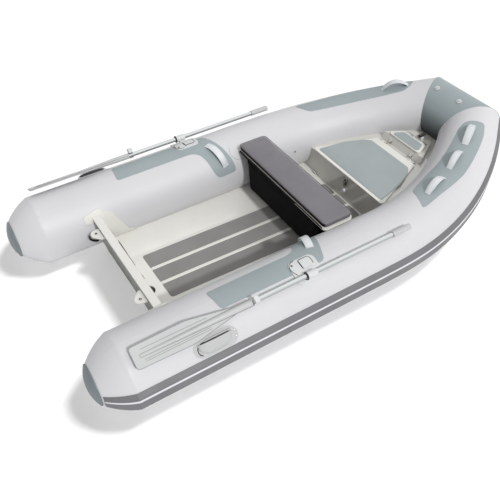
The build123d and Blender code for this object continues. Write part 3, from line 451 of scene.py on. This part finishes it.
def rows(name, paths, pitch, half_length, half_width, finish):
    """Stitches along lines, or one screw head at the start of each short line."""
    lines = bpy.data.meshes.new(name)
    spots, edges = [], []
    for path in paths:
        edges += [(len(spots) + n, len(spots) + n + 1) for n in range(len(path) - 1)]
        spots += [tuple(spot) for spot in path]
    lines.from_pydata(spots, edges, [])
    holder = bpy.data.objects.new(name + "_lines", lines)
    bpy.context.scene.collection.objects.link(holder)
    setter = holder.modifiers.new("rows", "NODES")
    setter.node_group = ROWS
    given = {"Pitch": pitch, "Half Length": half_length, "Half Width": half_width,
             "Finish": MATERIALS[finish]}
    for socket in ROWS.interface.items_tree:
        if socket.name in given:
            setter[socket.identifier] = given[socket.name]
    view = bpy.context.evaluated_depsgraph_get()
    made = bpy.data.meshes.new_from_object(holder.evaluated_get(view))
    holder.modifiers.clear()
    bpy.data.objects.remove(holder)
    return add_mesh(name, made, finish)


# ---------------------------------------------------------------- the side tubes' skin
TUBE_R, NOSE_R = 0.215, 0.194
TUBE_Y, TUBE_Z = 0.62, 0.21
TAPER_X = 1.25
BEND_X, BEND_R = 1.42, 1.649
BEND_TILT = radians(21.7)
BEND_RUN = BEND_R * radians(41.7)
PER_DEGREE = radians(1) * TUBE_R    # metres round the straight tube for each degree
CLOTH_T = 0.0022


def on_tube(x, angle, lift=0.0, side=1):
    """Point of a side tube's skin: station along its line, degrees round from outboard over the top."""
    run = x - BEND_X
    turn = min(max(run, 0.0), BEND_RUN) / BEND_R
    before, after = min(run, 0.0), max(run - BEND_RUN, 0.0)
    inward = BEND_R * (1 - cos(turn)) + after * sin(turn)
    centre = Vector((BEND_X + before + BEND_R * sin(turn) + after * cos(turn),
                     TUBE_Y - inward * cos(BEND_TILT), TUBE_Z + inward * sin(BEND_TILT)))
    ahead = Vector((cos(turn), -sin(turn) * cos(BEND_TILT), sin(turn) * sin(BEND_TILT)))
    out = Vector((0, 0, 1)).cross(ahead).normalized()
    share = min(max((x - TAPER_X) / (BEND_X + BEND_RUN - TAPER_X), 0.0), 1.0)
    reach = TUBE_R + (NOSE_R - TUBE_R) * share + lift
    spot = centre + reach * (cos(radians(angle)) * out + sin(radians(angle)) * ahead.cross(out))
    return Vector((spot.x, side * spot.y, spot.z))


CELL = (0.03, 0.018)      # a skin piece is cut into cells this long and this far round


def skin_piece(name, patches, high, finish, low=-0.002):
    """Thin piece bent to the tubes' skin; each patch is a side and a list of station and angle."""
    form = bmesh.new()
    for side, outline in patches:
        form.faces.new([form.verts.new((x, radians(angle) * TUBE_R, side)) for x, angle in outline])
    for axis, step in enumerate(CELL):
        places = [v.co[axis] for v in form.verts]
        cut = min(places) + step
        while cut < max(places):
            spot, across = Vector((0, 0, 0)), Vector((0, 0, 0))
            spot[axis], across[axis] = cut, 1.0
            bmesh.ops.bisect_plane(form, geom=form.verts[:] + form.edges[:] + form.faces[:],
                                   plane_co=spot, plane_no=across)
            cut += step
    grown = bmesh.ops.extrude_face_region(form, geom=form.faces[:])["geom"]
    top = {v for v in grown if isinstance(v, bmesh.types.BMVert)}
    for vert in form.verts:
        lift = high if vert in top else low
        vert.co = on_tube(vert.co.x, degrees(vert.co.y / TUBE_R), lift, vert.co.z)
    return add_piece(name, form, finish)


def eased(outline, reach, count=6):
    """Outline in station and angle with its corners rounded; reach is how far each rounding runs."""
    flat = [Vector((x, radians(angle) * TUBE_R)) for x, angle in outline]
    spots = []
    for n, corner in enumerate(flat):
        ends = []
        for other in (flat[n - 1], flat[(n + 1) % len(flat)]):
            ends.append(corner.lerp(other, min(reach / (other - corner).length, 0.5)))
        for k in range(count):
            t = k / (count - 1)
            spots.append(ends[0].lerp(corner, t).lerp(corner.lerp(ends[1], t), t))
    return [(x, degrees(y / TUBE_R)) for x, y in spots]


def arc(centre, reach, start, end, count):
    """Points on an ellipse, start and end in degrees."""
    (x, y), (wide, high) = centre, reach
    spots = [radians(start + (end - start) * n / (count - 1)) for n in range(count)]
    return [(x + wide * cos(t), y + high * sin(t)) for t in spots]


def capsule(x, angle, half, reach, count=9):
    """Round-ended outline about a spot of the skin, in station and angle."""
    ends = arc((half - reach, 0), (reach, reach), -90, 90, count)
    ends += arc((reach - half, 0), (reach, reach), 90, 270, count)
    return [(x + u, angle + v / PER_DEGREE) for u, v in ends]


# glued cloth patches
WEAR_EDGE = (
    (0.255, 107), (0.272, 70.5), (0.926, 70.5), (0.945, 83.5), (0.971, 99.8), (0.997, 116.8),
    (1.018, 133.8), (1.034, 149.5), (1.037, 164.5), (0.905, 166), (0.878, 155.3),
    (0.865, 141.5), (0.850, 127.0), (0.826, 113.0), (0.780, 107),
)
BOW_EDGES = {
    1: ((1.708, 86.7), (1.758, 103.5), (1.924, 107), (2.086, 108.2), (2.323, 108.6), (2.508, 105.5),
        (2.560, 93.5), (2.590, 74), (2.560, 64), (2.304, 64), (2.111, 64), (1.866, 73), (1.690, 72)),
    -1: ((1.773, 113.1), (1.880, 118), (1.973, 119.5), (2.164, 115.6), (2.362, 114), (2.500, 112),
         (2.570, 103.4), (2.592, 87.4), (2.597, 66), (2.489, 61.8), (2.304, 62.8), (2.111, 63.6),
         (1.866, 72), (1.684, 72.2)),
}
wear = skin_piece("wear_patch_cloth", [(side, eased(WEAR_EDGE, 0.024)) for side, _ in SIDES],
                  CLOTH_T, "patch_cloth")
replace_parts(wear, "wear_patches")
bow = skin_piece("bow_patch_cloth", [(side, eased(BOW_EDGES[side], 0.030)) for side, _ in SIDES],
                 CLOTH_T, "patch_cloth")
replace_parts(bow, "bow_patches")


# webbing handles
STRAP_STEPS = 36
STRAP_T = 0.005
STRAP_FACE = 0.0066       # lift of the stitches from the skin, where the strap lies flat
SEAM_SHARE = 0.8          # the seams run this far out from a strap's middle, 1 at its edge
STRAP_SECTION = (         # across, in half widths, and up, in thicknesses
    (-1, 0.2), (-0.96, 0), (0.96, 0), (1, 0.2), (1, 0.8), (0.9, 1), (-0.9, 1), (-1, 0.8),
)


def strap_course(start, end, wide):
    """A strap's run over the flattened skin, and half its width across that."""
    run = Vector((end[0] - start[0], (end[1] - start[1]) * PER_DEGREE))
    return run, Vector((-run.y, run.x)).normalized() * (wide / 2)


def strap_rise(share, high):
    """Height of a strap's arch at a share of its run; both feet lie flat."""
    return high * sin(pi * min(max((share - 0.03) / 0.94, 0.0), 1.0)) ** 0.8


def strap(form, start, end, high, wide, side):
    """Arched strap between two spots of the skin, its feet flat on it."""
    run, across = strap_course(start, end, wide)
    rings = []
    for n in range(STRAP_STEPS + 1):
        t = n / STRAP_STEPS
        spot = Vector(start) + Vector((run.x, run.y / PER_DEGREE)) * t
        rings.append([form.verts.new(on_tube(
            spot.x + across.x * u, spot.y + across.y * u / PER_DEGREE,
            0.0015 + strap_rise(t, high) + STRAP_T * v, side)) for u, v in STRAP_SECTION])
    join_rings(form, rings)


def strap_line(start, end, high, wide, side, share):
    """Line on a strap's face; share is how far out from its middle, 1 at the edge."""
    run, across = strap_course(start, end, wide * share)
    line = []
    for n in range(1, STRAP_STEPS):
        t = n / STRAP_STEPS
        line.append(on_tube(start[0] + run.x * t + across.x,
                            start[1] + (run.y * t + across.y) / PER_DEGREE,
                            STRAP_FACE + strap_rise(t, high), side))
    return line


# from and to in station and angle, height of the arch, width
SIDE_STRAP = ((0.911, 101), (0.970, 150), 0.026, 0.046)
BOW_STRAPS = (
    ((1.798, 88.5), (1.994, 89.0), 0.044, 0.038), ((2.085, 91.0), (2.278, 90.5), 0.044, 0.038),
    ((2.348, 89.5), (2.546, 88.5), 0.044, 0.044),
)
for side, name in SIDES:
    straps = (SIDE_STRAP,) + (BOW_STRAPS if side < 0 else BOW_STRAPS[2:])
    form = bmesh.new()
    for row in straps:
        strap(form, *row, side)
    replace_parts(add_piece(name + "_straps", form, "strap_cloth"), name + "_grab_handles")
    seams = [strap_line(*row, side, share) for row in straps for share in (-SEAM_SHARE, SEAM_SHARE)]
    rows(name + "_strap_stitches", seams, pitch=0.006, half_length=0.0018, half_width=0.0006,
         finish="edge_line")

# cord line of the round pad by the bench
LINE_R = 0.0011           # radius of the finest raised lines
ROUND_LINE = ((1.041, 121), (1.033, 125), (1.030, 129.5), (1.031, 133.5), (1.035, 137), (1.043, 141),
              (1.053, 144), (1.065, 145.5), (1.077, 146), (1.094, 147), (1.110, 148))
for side, name in SIDES:
    line = [on_tube(x, angle, 0.0002, side) for x, angle in ROUND_LINE]
    add_mesh(name + "_pad_line", cord_form([line], LINE_R), "edge_line")

# weld seams of the stern cones
CONE_X = -0.277
for side, name in SIDES:
    ring = [on_tube(CONE_X, 10 * n, -0.0004, side) for n in range(36)]
    add_mesh(name + "_cone_seam", cord_form([ring], LINE_R, cyclic=True), "tube_cloth")

# valves
VALVE_AT = (1.534, 172)
VALVE_TURNS = [radians(15 * n) for n in range(24)]
VALVE_RINGS = (           # radius and lift, from the foot of the rim inwards
    (0.017, -0.002), (0.017, 0.0016), (0.0145, 0.0026), (0.012, 0.0020), (0.0105, 0.0012),
)
for side, name in SIDES:
    valve = bmesh.new()
    rings = []
    for reach, lift in VALVE_RINGS:
        turns = [(VALVE_AT[0] + reach * cos(t), VALVE_AT[1] + degrees(reach * sin(t) / TUBE_R))
                 for t in VALVE_TURNS]
        rings.append([valve.verts.new(on_tube(x, a, lift, side)) for x, a in turns])
    join_rings(valve, rings)
    add_piece(name + "_valve_cap", valve, "fitting_plastic")
    skin_piece(name + "_valve_recess", [(side, capsule(*VALVE_AT, 0.0086, 0.0085))], 0.0024,
               "edge_line")


# ---------------------------------------------------------------- seat cushion and bag
SWELL_FRAMES = 20
PRESSURE = 4.0


def swell(thing, voxel, cap):
    """Remeshes a closed form and swells it as stuffed cloth, moving no point by more than the cap."""
    even = thing.modifiers.new("even", "REMESH")
    even.mode = "VOXEL"
    even.voxel_size = voxel
    settle(thing)
    rest = [v.co.copy() for v in thing.data.vertices]
    cloth = thing.modifiers.new("swell", "CLOTH")
    cloth.settings.quality = 4
    cloth.settings.use_pressure = True
    cloth.settings.uniform_pressure_force = PRESSURE
    cloth.settings.effector_weights.gravity = 0.0
    cloth.point_cache.frame_end = SWELL_FRAMES
    for step in range(1, SWELL_FRAMES + 1):
        bpy.context.scene.frame_set(step)
    settle(thing)
    bpy.context.scene.frame_set(1)
    for vert, start in zip(thing.data.vertices, rest):
        move = vert.co - start
        if move.length > cap:
            vert.co = start + move.normalized() * cap


def settle(thing):
    """Applies a piece's modifiers to its mesh."""
    view = bpy.context.evaluated_depsgraph_get()
    made = bpy.data.meshes.new_from_object(thing.evaluated_get(view))
    thing.modifiers.clear()
    thing.data = made


def softened(thing):
    """Smooths a swelled piece by one subdivision."""
    smooth = thing.modifiers.new("smooth", "SUBSURF")
    smooth.levels = smooth.render_levels = 1
    settle(thing)
    for face in thing.data.polygons:
        face.use_smooth = True


def rounded(half_x, half_y, corner, count=6):
    """Rounded rectangle about the origin."""
    spots = []
    for n, (sx, sy) in enumerate(((1, 1), (-1, 1), (-1, -1), (1, -1))):
        centre = (sx * (half_x - corner), sy * (half_y - corner))
        spots += arc(centre, (corner, corner), 90 * n, 90 * n + 90, count)
    return spots


def stacked(name, levels, finish):
    """Closed form through level outlines: each a height and its list of points."""
    form = bmesh.new()
    join_rings(form, [[form.verts.new((x, y, z)) for x, y in ring] for z, ring in levels])
    return add_piece(name, form, finish)


def shifted(ring, dx):
    return [(x + dx, y) for x, y in ring]


def box_outline(x0, x1, y0, y1):
    return [(x0, y0), (x1, y0), (x1, y1), (x0, y1)]


SEAT_GAP = 0.0005         # the cushion lies this far above its board
CUSHION_CORNER = 0.026
CUSHION_LEVELS = (        # height above the board, inset of the outline
    (0.0006, 0.006), (0.006, 0.003), (0.018, 0.002), (0.029, 0.003), (0.0325, 0.006),
)
PIPING_UP, PIPING_IN, PIPING_R = 0.0305, 0.004, 0.0022
low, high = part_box("bench_cushion")
mid_x, half_x, half_y = (low.x + high.x) / 2, (high.x - low.x) / 2, high.y
cushion = stacked("seat_cushion", [
    (low.z + up, shifted(rounded(half_x - inset, half_y - inset, CUSHION_CORNER), mid_x))
    for up, inset in CUSHION_LEVELS], "seat_vinyl")
swell(cushion, voxel=0.006, cap=0.004)
for vert in cushion.data.vertices:
    vert.co.z = max(vert.co.z, low.z + SEAT_GAP)
softened(cushion)
# vinyl on top; the aft side in the bag's black cloth and the rest in a darker copy of the vinyl, both
# painted shade
cushion.data.materials.clear()
for finish in ("seat_vinyl", "seat_vinyl_shaded", "bag_cloth"):
    cushion.data.materials.append(MATERIALS[finish])
for face in cushion.data.polygons:
    on_top = face.normal.z > 0.35 and face.center.z > low.z + 0.02
    face.material_index = 0 if on_top else 2 if face.normal.x < -0.6 else 1
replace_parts(cushion, "bench_cushion")
edge = shifted(rounded(half_x - PIPING_IN, half_y - PIPING_IN, CUSHION_CORNER, 10), mid_x)
piping = [(x, y, low.z + PIPING_UP) for x, y in edge]
add_mesh("seat_piping", cord_form([piping], PIPING_R, cyclic=True), "seat_vinyl_shaded")

BAG_LEAN = 0.040          # the bag's aft face leans forward from the board to the sole
BAG_FOOT = 0.062          # height of the bag's foot, on the sole
BAG_SPREAD = 0.044        # how much farther out each end reaches at the sole
BAG_LEVELS = 15
BAG_TUCK = 0.012          # how far the bag's foot is tucked in
BAG_CORNER = 0.02
low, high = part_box("seat_bag")
mid_x, half_x, half_y = (low.x + high.x) / 2, (high.x - low.x) / 2, high.y
levels = []
for n in range(BAG_LEVELS):
    share = n / (BAG_LEVELS - 1)
    inset = BAG_TUCK * (1 - share) ** 6
    spread = BAG_SPREAD * (1 - share) ** 2.5
    lean = BAG_LEAN / 2 * (1 - share)
    ring = rounded(half_x - inset - 0.003 - lean, half_y + spread - inset, BAG_CORNER)
    levels.append((BAG_FOOT + (high.z - 0.001 - BAG_FOOT) * share, shifted(ring, mid_x + lean)))
bag = stacked("seat_bag_cover", levels, "bag_cloth")
swell(bag, voxel=0.009, cap=0.006)
for vert in bag.data.vertices:
    vert.co.z = min(vert.co.z, high.z - 0.0006)
    vert.co.x = max(vert.co.x, low.x - 0.004)
softened(bag)
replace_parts(bag, "seat_bag")

# the bag's cloth laid up over the board's aft edge
low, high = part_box("bench_board")
# name, foot above the board's underside, and both ends
BAG_FLAPS = (("a", 0.0015, -0.18, 0.452), ("b", 0.0075, -0.455, -0.18))
FLAP_OUT, FLAP_IN = 0.0025, 0.002   # the flaps' faces, each side of the board's edge
for letter, foot, y0, y1 in BAG_FLAPS:
    outline = box_outline(low.x - FLAP_OUT, low.x + FLAP_IN, y0, y1)
    stacked("bag_flap_" + letter, [(low.z + foot, outline), (high.z + 0.0005, outline)], "bag_cloth")
SEAM_Y = (-0.17, 0.44)
seam = [(low.x - 0.0026, SEAM_Y[0] + (SEAM_Y[1] - SEAM_Y[0]) * n / 20, high.z - 0.0025)
        for n in range(21)]
rows("flap_stitches", [seam], pitch=0.007, half_length=0.0022, half_width=0.0005,
     finish="seat_vinyl_shaded")


# ---------------------------------------------------------------- deck pads, ribs and slots
def plate(name, outlines, level, thick, finish, body="root", ease=0.001):
    """Flat pieces on a sloped deck, their top edges eased; level is z and x of a point and the slope."""
    form = bmesh.new()
    for outline in outlines:
        form.faces.new([form.verts.new((x, y, 0)) for x, y in outline])
    grown = bmesh.ops.extrude_face_region(form, geom=form.faces[:])["geom"]
    top = {v for v in grown if isinstance(v, bmesh.types.BMVert)}
    for vert in top:
        vert.co.z = thick
    rim = [edge for edge in form.edges if all(v in top for v in edge.verts)]
    bmesh.ops.bevel(form, geom=rim, offset=ease, segments=2, profile=0.5, affect="EDGES")
    height, station, slope = level
    for vert in form.verts:
        vert.co.z += height + slope * (vert.co.x - station)
    return add_piece(name, form, finish, body)


def mirrored(half):
    """Outline from its port half, given from aft to forward."""
    return half + [(x, -y) for x, y in reversed(half)]


def cornered(outline, reach, count=5):
    """Flat outline with its corners rounded."""
    flat = [Vector(spot) for spot in outline]
    spots = []
    for n, corner in enumerate(flat):
        near, far = (corner.lerp(other, min(reach / (other - corner).length, 0.5))
                     for other in (flat[n - 1], flat[(n + 1) % len(flat)]))
        for k in range(count):
            t = k / (count - 1)
            spots.append(tuple(near.lerp(corner, t).lerp(corner.lerp(far, t), t)))
    return spots


# levels of the decks: height, station where it holds, slope
LID_LEVEL = (0.2488, 1.654, 0.057)
SOLE_SLOPE = -0.0215
SOLE_LEVEL = (0.0712, 0.211, SOLE_SLOPE)
GUTTER_LEVEL = (0.0672, 0.14, SOLE_SLOPE)
SUMP_LEVEL = (0.0652, 0.14, SOLE_SLOPE)
SOLE_RIB = (0.216, 1.634)
GAP_Y, GAP_HALF = 0.0685, 0.0115
GUTTERS = ((0.1, 0.1425, 0.151, 0.399), (0.1, 0.1425, 0.018, 0.066))
SUMP_AT, SUMP_R = (0.116, -0.082), 0.0435
mat = plate("locker_mat", [cornered(mirrored([
    (1.672, 0.333), (1.755, 0.316), (1.870, 0.292), (1.985, 0.236), (2.034, 0.192)]), 0.016)],
    LID_LEVEL, 0.0032, "deck_pad", "locker_lid")
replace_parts(mat, "locker_pad")
plate("sole_ribs", [cornered(box_outline(*SOLE_RIB, y - GAP_HALF, y + GAP_HALF), 0.006)
                    for y in (GAP_Y, -GAP_Y)], SOLE_LEVEL, 0.0030, "liner_gloss", ease=0.0008)
# the gutters' and sump's floors in near black: painted shade in these recesses
plate("gutter_floors", [cornered(box_outline(*gutter), 0.004) for gutter in GUTTERS],
      GUTTER_LEVEL, 0.001, "slot_shade_and_dark_trim")
plate("sump_floor", [arc(SUMP_AT, (SUMP_R, SUMP_R), 0, 345, 24)], SUMP_LEVEL, 0.001, "slot_shade_and_dark_trim")

# ---------------------------------------------------------------- oars and oarlocks
OUT_Y, OUT_Z = 0.5039, 0.8638
OAR_Y, OAR_Z = 0.746, 0.426


def by_oar(x, across, up, side):
    """Point by the oar: station, distance outboard across it and away from the tube."""
    return Vector((x, side * (OAR_Y + OUT_Z * across + OUT_Y * up), OAR_Z - OUT_Y * across + OUT_Z * up))


# station and half width along the blade's edge, and along the sleeve that runs down it
BLADE = ((-0.242, 0.057), (0.060, 0.062), (0.330, 0.0172))
SLEEVE = ((-0.196, 0.0085), (0.416, 0.0205))
RIB_X, RIB_Y = (-0.19, 0.0, 0.17), (0.024, 0.034, -0.030)
RIM_UP, RIB_UP, SLEEVE_UP = 0.0040, 0.0042, 0.0046      # heights above the blade's middle plane
COLLAR_X, COLLAR_R = 0.7655, 0.0215
DRAIN_AT = (0.7375, 83)
# dark lines along the edges of the oarlock's base and its block
OARLOCK_DARK_EDGES = (         # lift from the skin, then stations and angles
    (0.0082, ((0.765, 89.4), (0.745, 88.6), (0.728, 85.6), (0.7185, 81.5), (0.7175, 77.0),
              (0.724, 71.5), (0.737, 66.5))),
    (0.0095, ((0.785, 85.8), (0.7838, 80.0), (0.7835, 75.5), (0.788, 71.5))),
    (0.0145, ((0.787, 85.9), (0.820, 86.2), (0.846, 86.0), (0.8545, 83.0), (0.8555, 78.0),
              (0.853, 73.0))),
)
for side, name in SIDES:
    oar = name + "_oar"
    whole = BLADE + tuple((x, -y) for x, y in reversed(BLADE))
    outline = eased([(x, degrees(y / TUBE_R)) for x, y in whole], 0.02)
    rim = [by_oar(x, radians(a) * TUBE_R, RIM_UP, side) for x, a in outline]
    add_mesh(name + "_blade_rim", cord_form([rim], 0.0015, cyclic=True), "edge_line", oar)
    (x0, r0), (x1, r1) = SLEEVE
    lines = [[by_oar(x0 + (x1 - x0) * n / 20, way * (r0 + (r1 - r0) * n / 20), SLEEVE_UP, side)
              for n in range(21)] for way in (1, -1)]
    tip = [by_oar(x0 - 0.008 * cos(radians(t)), r0 * sin(radians(t)), SLEEVE_UP, side)
           for t in range(-90, 91, 15)]
    add_mesh(name + "_sleeve_edges", cord_form(lines + [tip], 0.0012), "edge_line", oar)
    ribs = [[by_oar(x, y * (1 - 0.25 * max(x, 0)), RIB_UP, side) for x in RIB_X] for y in RIB_Y]
    add_mesh(name + "_blade_ribs", cord_form(ribs, LINE_R), "edge_line", oar)
    ring = [by_oar(COLLAR_X, COLLAR_R * cos(radians(t)), COLLAR_R * sin(radians(t)), side)
            for t in range(0, 360, 15)]
    add_mesh(name + "_collar_ring", cord_form([ring], 0.0028, cyclic=True), "slot_shade_and_dark_trim", oar)
    lines = [[on_tube(x, a, lift, side) for x, a in spots] for lift, spots in OARLOCK_DARK_EDGES]
    add_mesh(name + "_oarlock_dark_edges", cord_form(lines, 0.0020), "slot_shade_and_dark_trim")
    # a dark capsule in the oarlock's base: painted shade in its drain hole
    skin_piece(name + "_oarlock_drain", [(side, capsule(*DRAIN_AT, 0.0062, 0.0061))], 0.0088,
               "slot_shade_and_dark_trim", low=0.004)

# screws of the oarlocks and carry plates: station, angle and lift of each
SCREWS = ((0.731, 76.0, 0.0080), (0.871, 86.5, 0.0080), (0.869, 73.5, 0.0080),
          (0.065, 38.0, 0.0032), (0.289, 38.0, 0.0032), (0.289, 29.0, 0.0032))
for side, name in SIDES:
    axes = [[on_tube(x, angle, lift, side), on_tube(x, angle, lift + 0.001, side)]
            for x, angle, lift in SCREWS]
    rows(name + "_screws", axes, pitch=0.01, half_length=0.0016, half_width=0.0042,
         finish="bright_steel")

# ---------------------------------------------------------------- moulded carry handles
CARRY_PLATE = (0.176, 33.5, 0.1255, 0.053)   # station, angle, half length, half width
PLATE_T = 0.0035
FLAP_X = (0.074, 0.272)
FLAP_TOP, FLAP_DROP = 40.6, 19.0
LIP = 0.025               # how far the flap's upper edge stands off the plate
MOUTH_FROM, MOUTH_SHARE = 0.0032, 0.80       # foot of the dark mouth, and its share of the lip's lift
FLAP_COLUMNS, FLAP_ROWS = 32, 8
SLIT = ((0.118, 41.3), (0.094, 40.6), (0.078, 38.2), (0.0715, 34.6), (0.0715, 30.5), (0.078, 26.5),
        (0.090, 24.0))
RIDGE = ((0.268, 43.2), (0.200, 43.6), (0.120, 43.4))


def flap_column(share):
    """Spots down the flap at a share of its length: station, angle and lift."""
    bulge = (1 - abs(2 * share - 1) ** 3.2) ** (1 / 2.2)
    x = FLAP_X[0] + (FLAP_X[1] - FLAP_X[0]) * share
    return [(x, FLAP_TOP - FLAP_DROP * t * max(bulge, 0.02),
             0.003 + LIP * bulge * (1 - t ** 1.6) ** 0.9)
            for t in (k / FLAP_ROWS for k in range(FLAP_ROWS + 1))]


FLAP = [flap_column(n / FLAP_COLUMNS) for n in range(FLAP_COLUMNS + 1)]
for side, name in SIDES:
    base = skin_piece(name + "_carry_plate", [(side, capsule(*CARRY_PLATE))], PLATE_T, "carry_plastic")
    form = bmesh.new()
    top = [[form.verts.new(on_tube(x, a, lift, side)) for x, a, lift in column] for column in FLAP]
    bed = [[form.verts.new(on_tube(x, a, 0.001, side)) for x, a, _ in column] for column in FLAP]
    for sheet in (top, bed):
        for a, b in zip(sheet, sheet[1:]):
            for k in range(FLAP_ROWS):
                form.faces.new((a[k], b[k], b[k + 1], a[k + 1]))
    for k in (0, FLAP_ROWS):
        for n in range(FLAP_COLUMNS):
            form.faces.new((top[n][k], top[n + 1][k], bed[n + 1][k], bed[n][k]))
    for n in (0, FLAP_COLUMNS):
        for k in range(FLAP_ROWS):
            form.faces.new((top[n][k], top[n][k + 1], bed[n][k + 1], bed[n][k]))
    add_piece(name + "_carry_flap", form, "carry_plastic")
    # a dark sheet under the flap's lip: painted shade in the handle's mouth
    mouth = bmesh.new()
    rings = []
    for x, a, lift in [column[0] for column in FLAP[3:30]]:
        crown = lift * MOUTH_SHARE
        rings.append([mouth.verts.new(on_tube(x, angle, height, side)) for angle, height in (
            (a, MOUTH_FROM), (a + 0.5, MOUTH_FROM), (a + 0.5, crown), (a, crown))])
    join_rings(mouth, rings)
    add_piece(name + "_carry_mouth_shade", mouth, "black_rubber_and_shade")
    # a dark cord round the flap's end: painted shade in the slit
    slit = [on_tube(x, a, 0.0045, side) for x, a in SLIT]
    add_mesh(name + "_carry_slit_shade", cord_form([slit], 0.0026), "slot_shade_and_dark_trim")
    ridge = [on_tube(x, a, 0.0030, side) for x, a in RIDGE]
    add_mesh(name + "_carry_ridge", cord_form([ridge], 0.0016), "edge_line")
    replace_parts(base, name + "_carry_handle")


# ---------------------------------------------------------------- small fittings
def hoop(spot, wide, high, tilt):
    """Points of a D-shaped ring in the plane across the boat: flat side up."""
    loop = [(-wide, 0.0), (wide, 0.0)] + arc((0, 0), (wide, -high), 15, 165, 9)
    c, s_ = cos(tilt), sin(tilt)
    return [Vector((spot[0], spot[1] + u * c - v * s_, spot[2] + u * s_ + v * c)) for u, v in loop]


# path of the painted shade under each transom ear, in station and angle
EAR_SHADE_LOOP = ((-0.0330, 181), (-0.0315, 188), (-0.018, 193), (-0.002, 197), (0.020, 200))
EYE_X, EYE_Y, EYE_Z, EYE_R = -0.012, 0.307, 0.2915, 0.0072
RING_X, RING_Y, RING_Z = 1.646, 0.330, 0.062
RING_WIDE, RING_HIGH, RING_TILT = 0.020, 0.030, 0.25
TIE_PLATE = ((1.651, 0.352, 0.064), (1.651, 0.308, 0.058))
for side, name in SIDES:
    ring = hoop((RING_X, side * RING_Y, RING_Z), RING_WIDE, RING_HIGH, side * RING_TILT)
    add_mesh(name + "_tie_ring", cord_form([ring], 0.0032, cyclic=True), "line_rubber")
    ends = [(x, side * y, z) for x, y, z in TIE_PLATE]
    add_mesh(name + "_tie_plate", cord_form([ends], 0.0055), "bright_steel")
    # a dark cord where the tube meets the transom under its ear: painted shade
    loop = [on_tube(x, angle, 0.004, side) for x, angle in EAR_SHADE_LOOP]
    add_mesh(name + "_ear_shade_loop", cord_form([loop], 0.0055), "black_rubber_and_shade")
    ring = [(EYE_X + EYE_R * cos(radians(t)), side * EYE_Y + EYE_R * sin(radians(t)), EYE_Z)
            for t in range(0, 360, 20)]
    add_mesh(name + "_eye_bush", cord_form([ring], 0.0030, cyclic=True), "black_rubber_and_shade")

ROLLER = ((2.281, -0.016, 0.334), (2.335, -0.016, 0.338))
HOOK = ((1.6425, 0.004, 0.214), (1.6395, -0.002, 0.192), (1.636, -0.010, 0.168), (1.634, -0.017, 0.150))
KNOB_AT, KNOB_R = (1.630, -0.020, 0.136), 0.0125
KNOB_STRETCH = (0.8, 1.0, 1.25)
add_mesh("bow_line_roller", cord_form([ROLLER], 0.0115), "black_rubber_and_shade")
add_mesh("locker_hook", cord_form([HOOK], 0.0052), "bright_steel")
knob = bmesh.new()
bmesh.ops.create_uvsphere(knob, u_segments=20, v_segments=12, radius=KNOB_R)
for vert in knob.verts:
    vert.co = Vector(KNOB_AT) + vert.co * Vector(KNOB_STRETCH)
add_piece("locker_knob", knob, "line_rubber")

# ---------------------------------------------------------------- floor
floor_mesh = bpy.data.meshes.new("floor")
corners = ((-1, -1), (1, -1), (1, 1), (-1, 1))
floor_mesh.from_pydata([(FLOOR_HALF * x, FLOOR_HALF * y, 0.0) for x, y in corners], [], [(0, 1, 2, 3)])
floor_mesh.materials.append(MATERIALS["studio_floor"])
floor = bpy.data.objects.new("floor", floor_mesh)
bpy.context.scene.collection.objects.link(floor)
LIT[True].objects.link(floor)
for piece in bpy.context.scene.objects:
    if piece.type == "MESH" and piece is not floor:
        LIT[False].objects.link(piece)
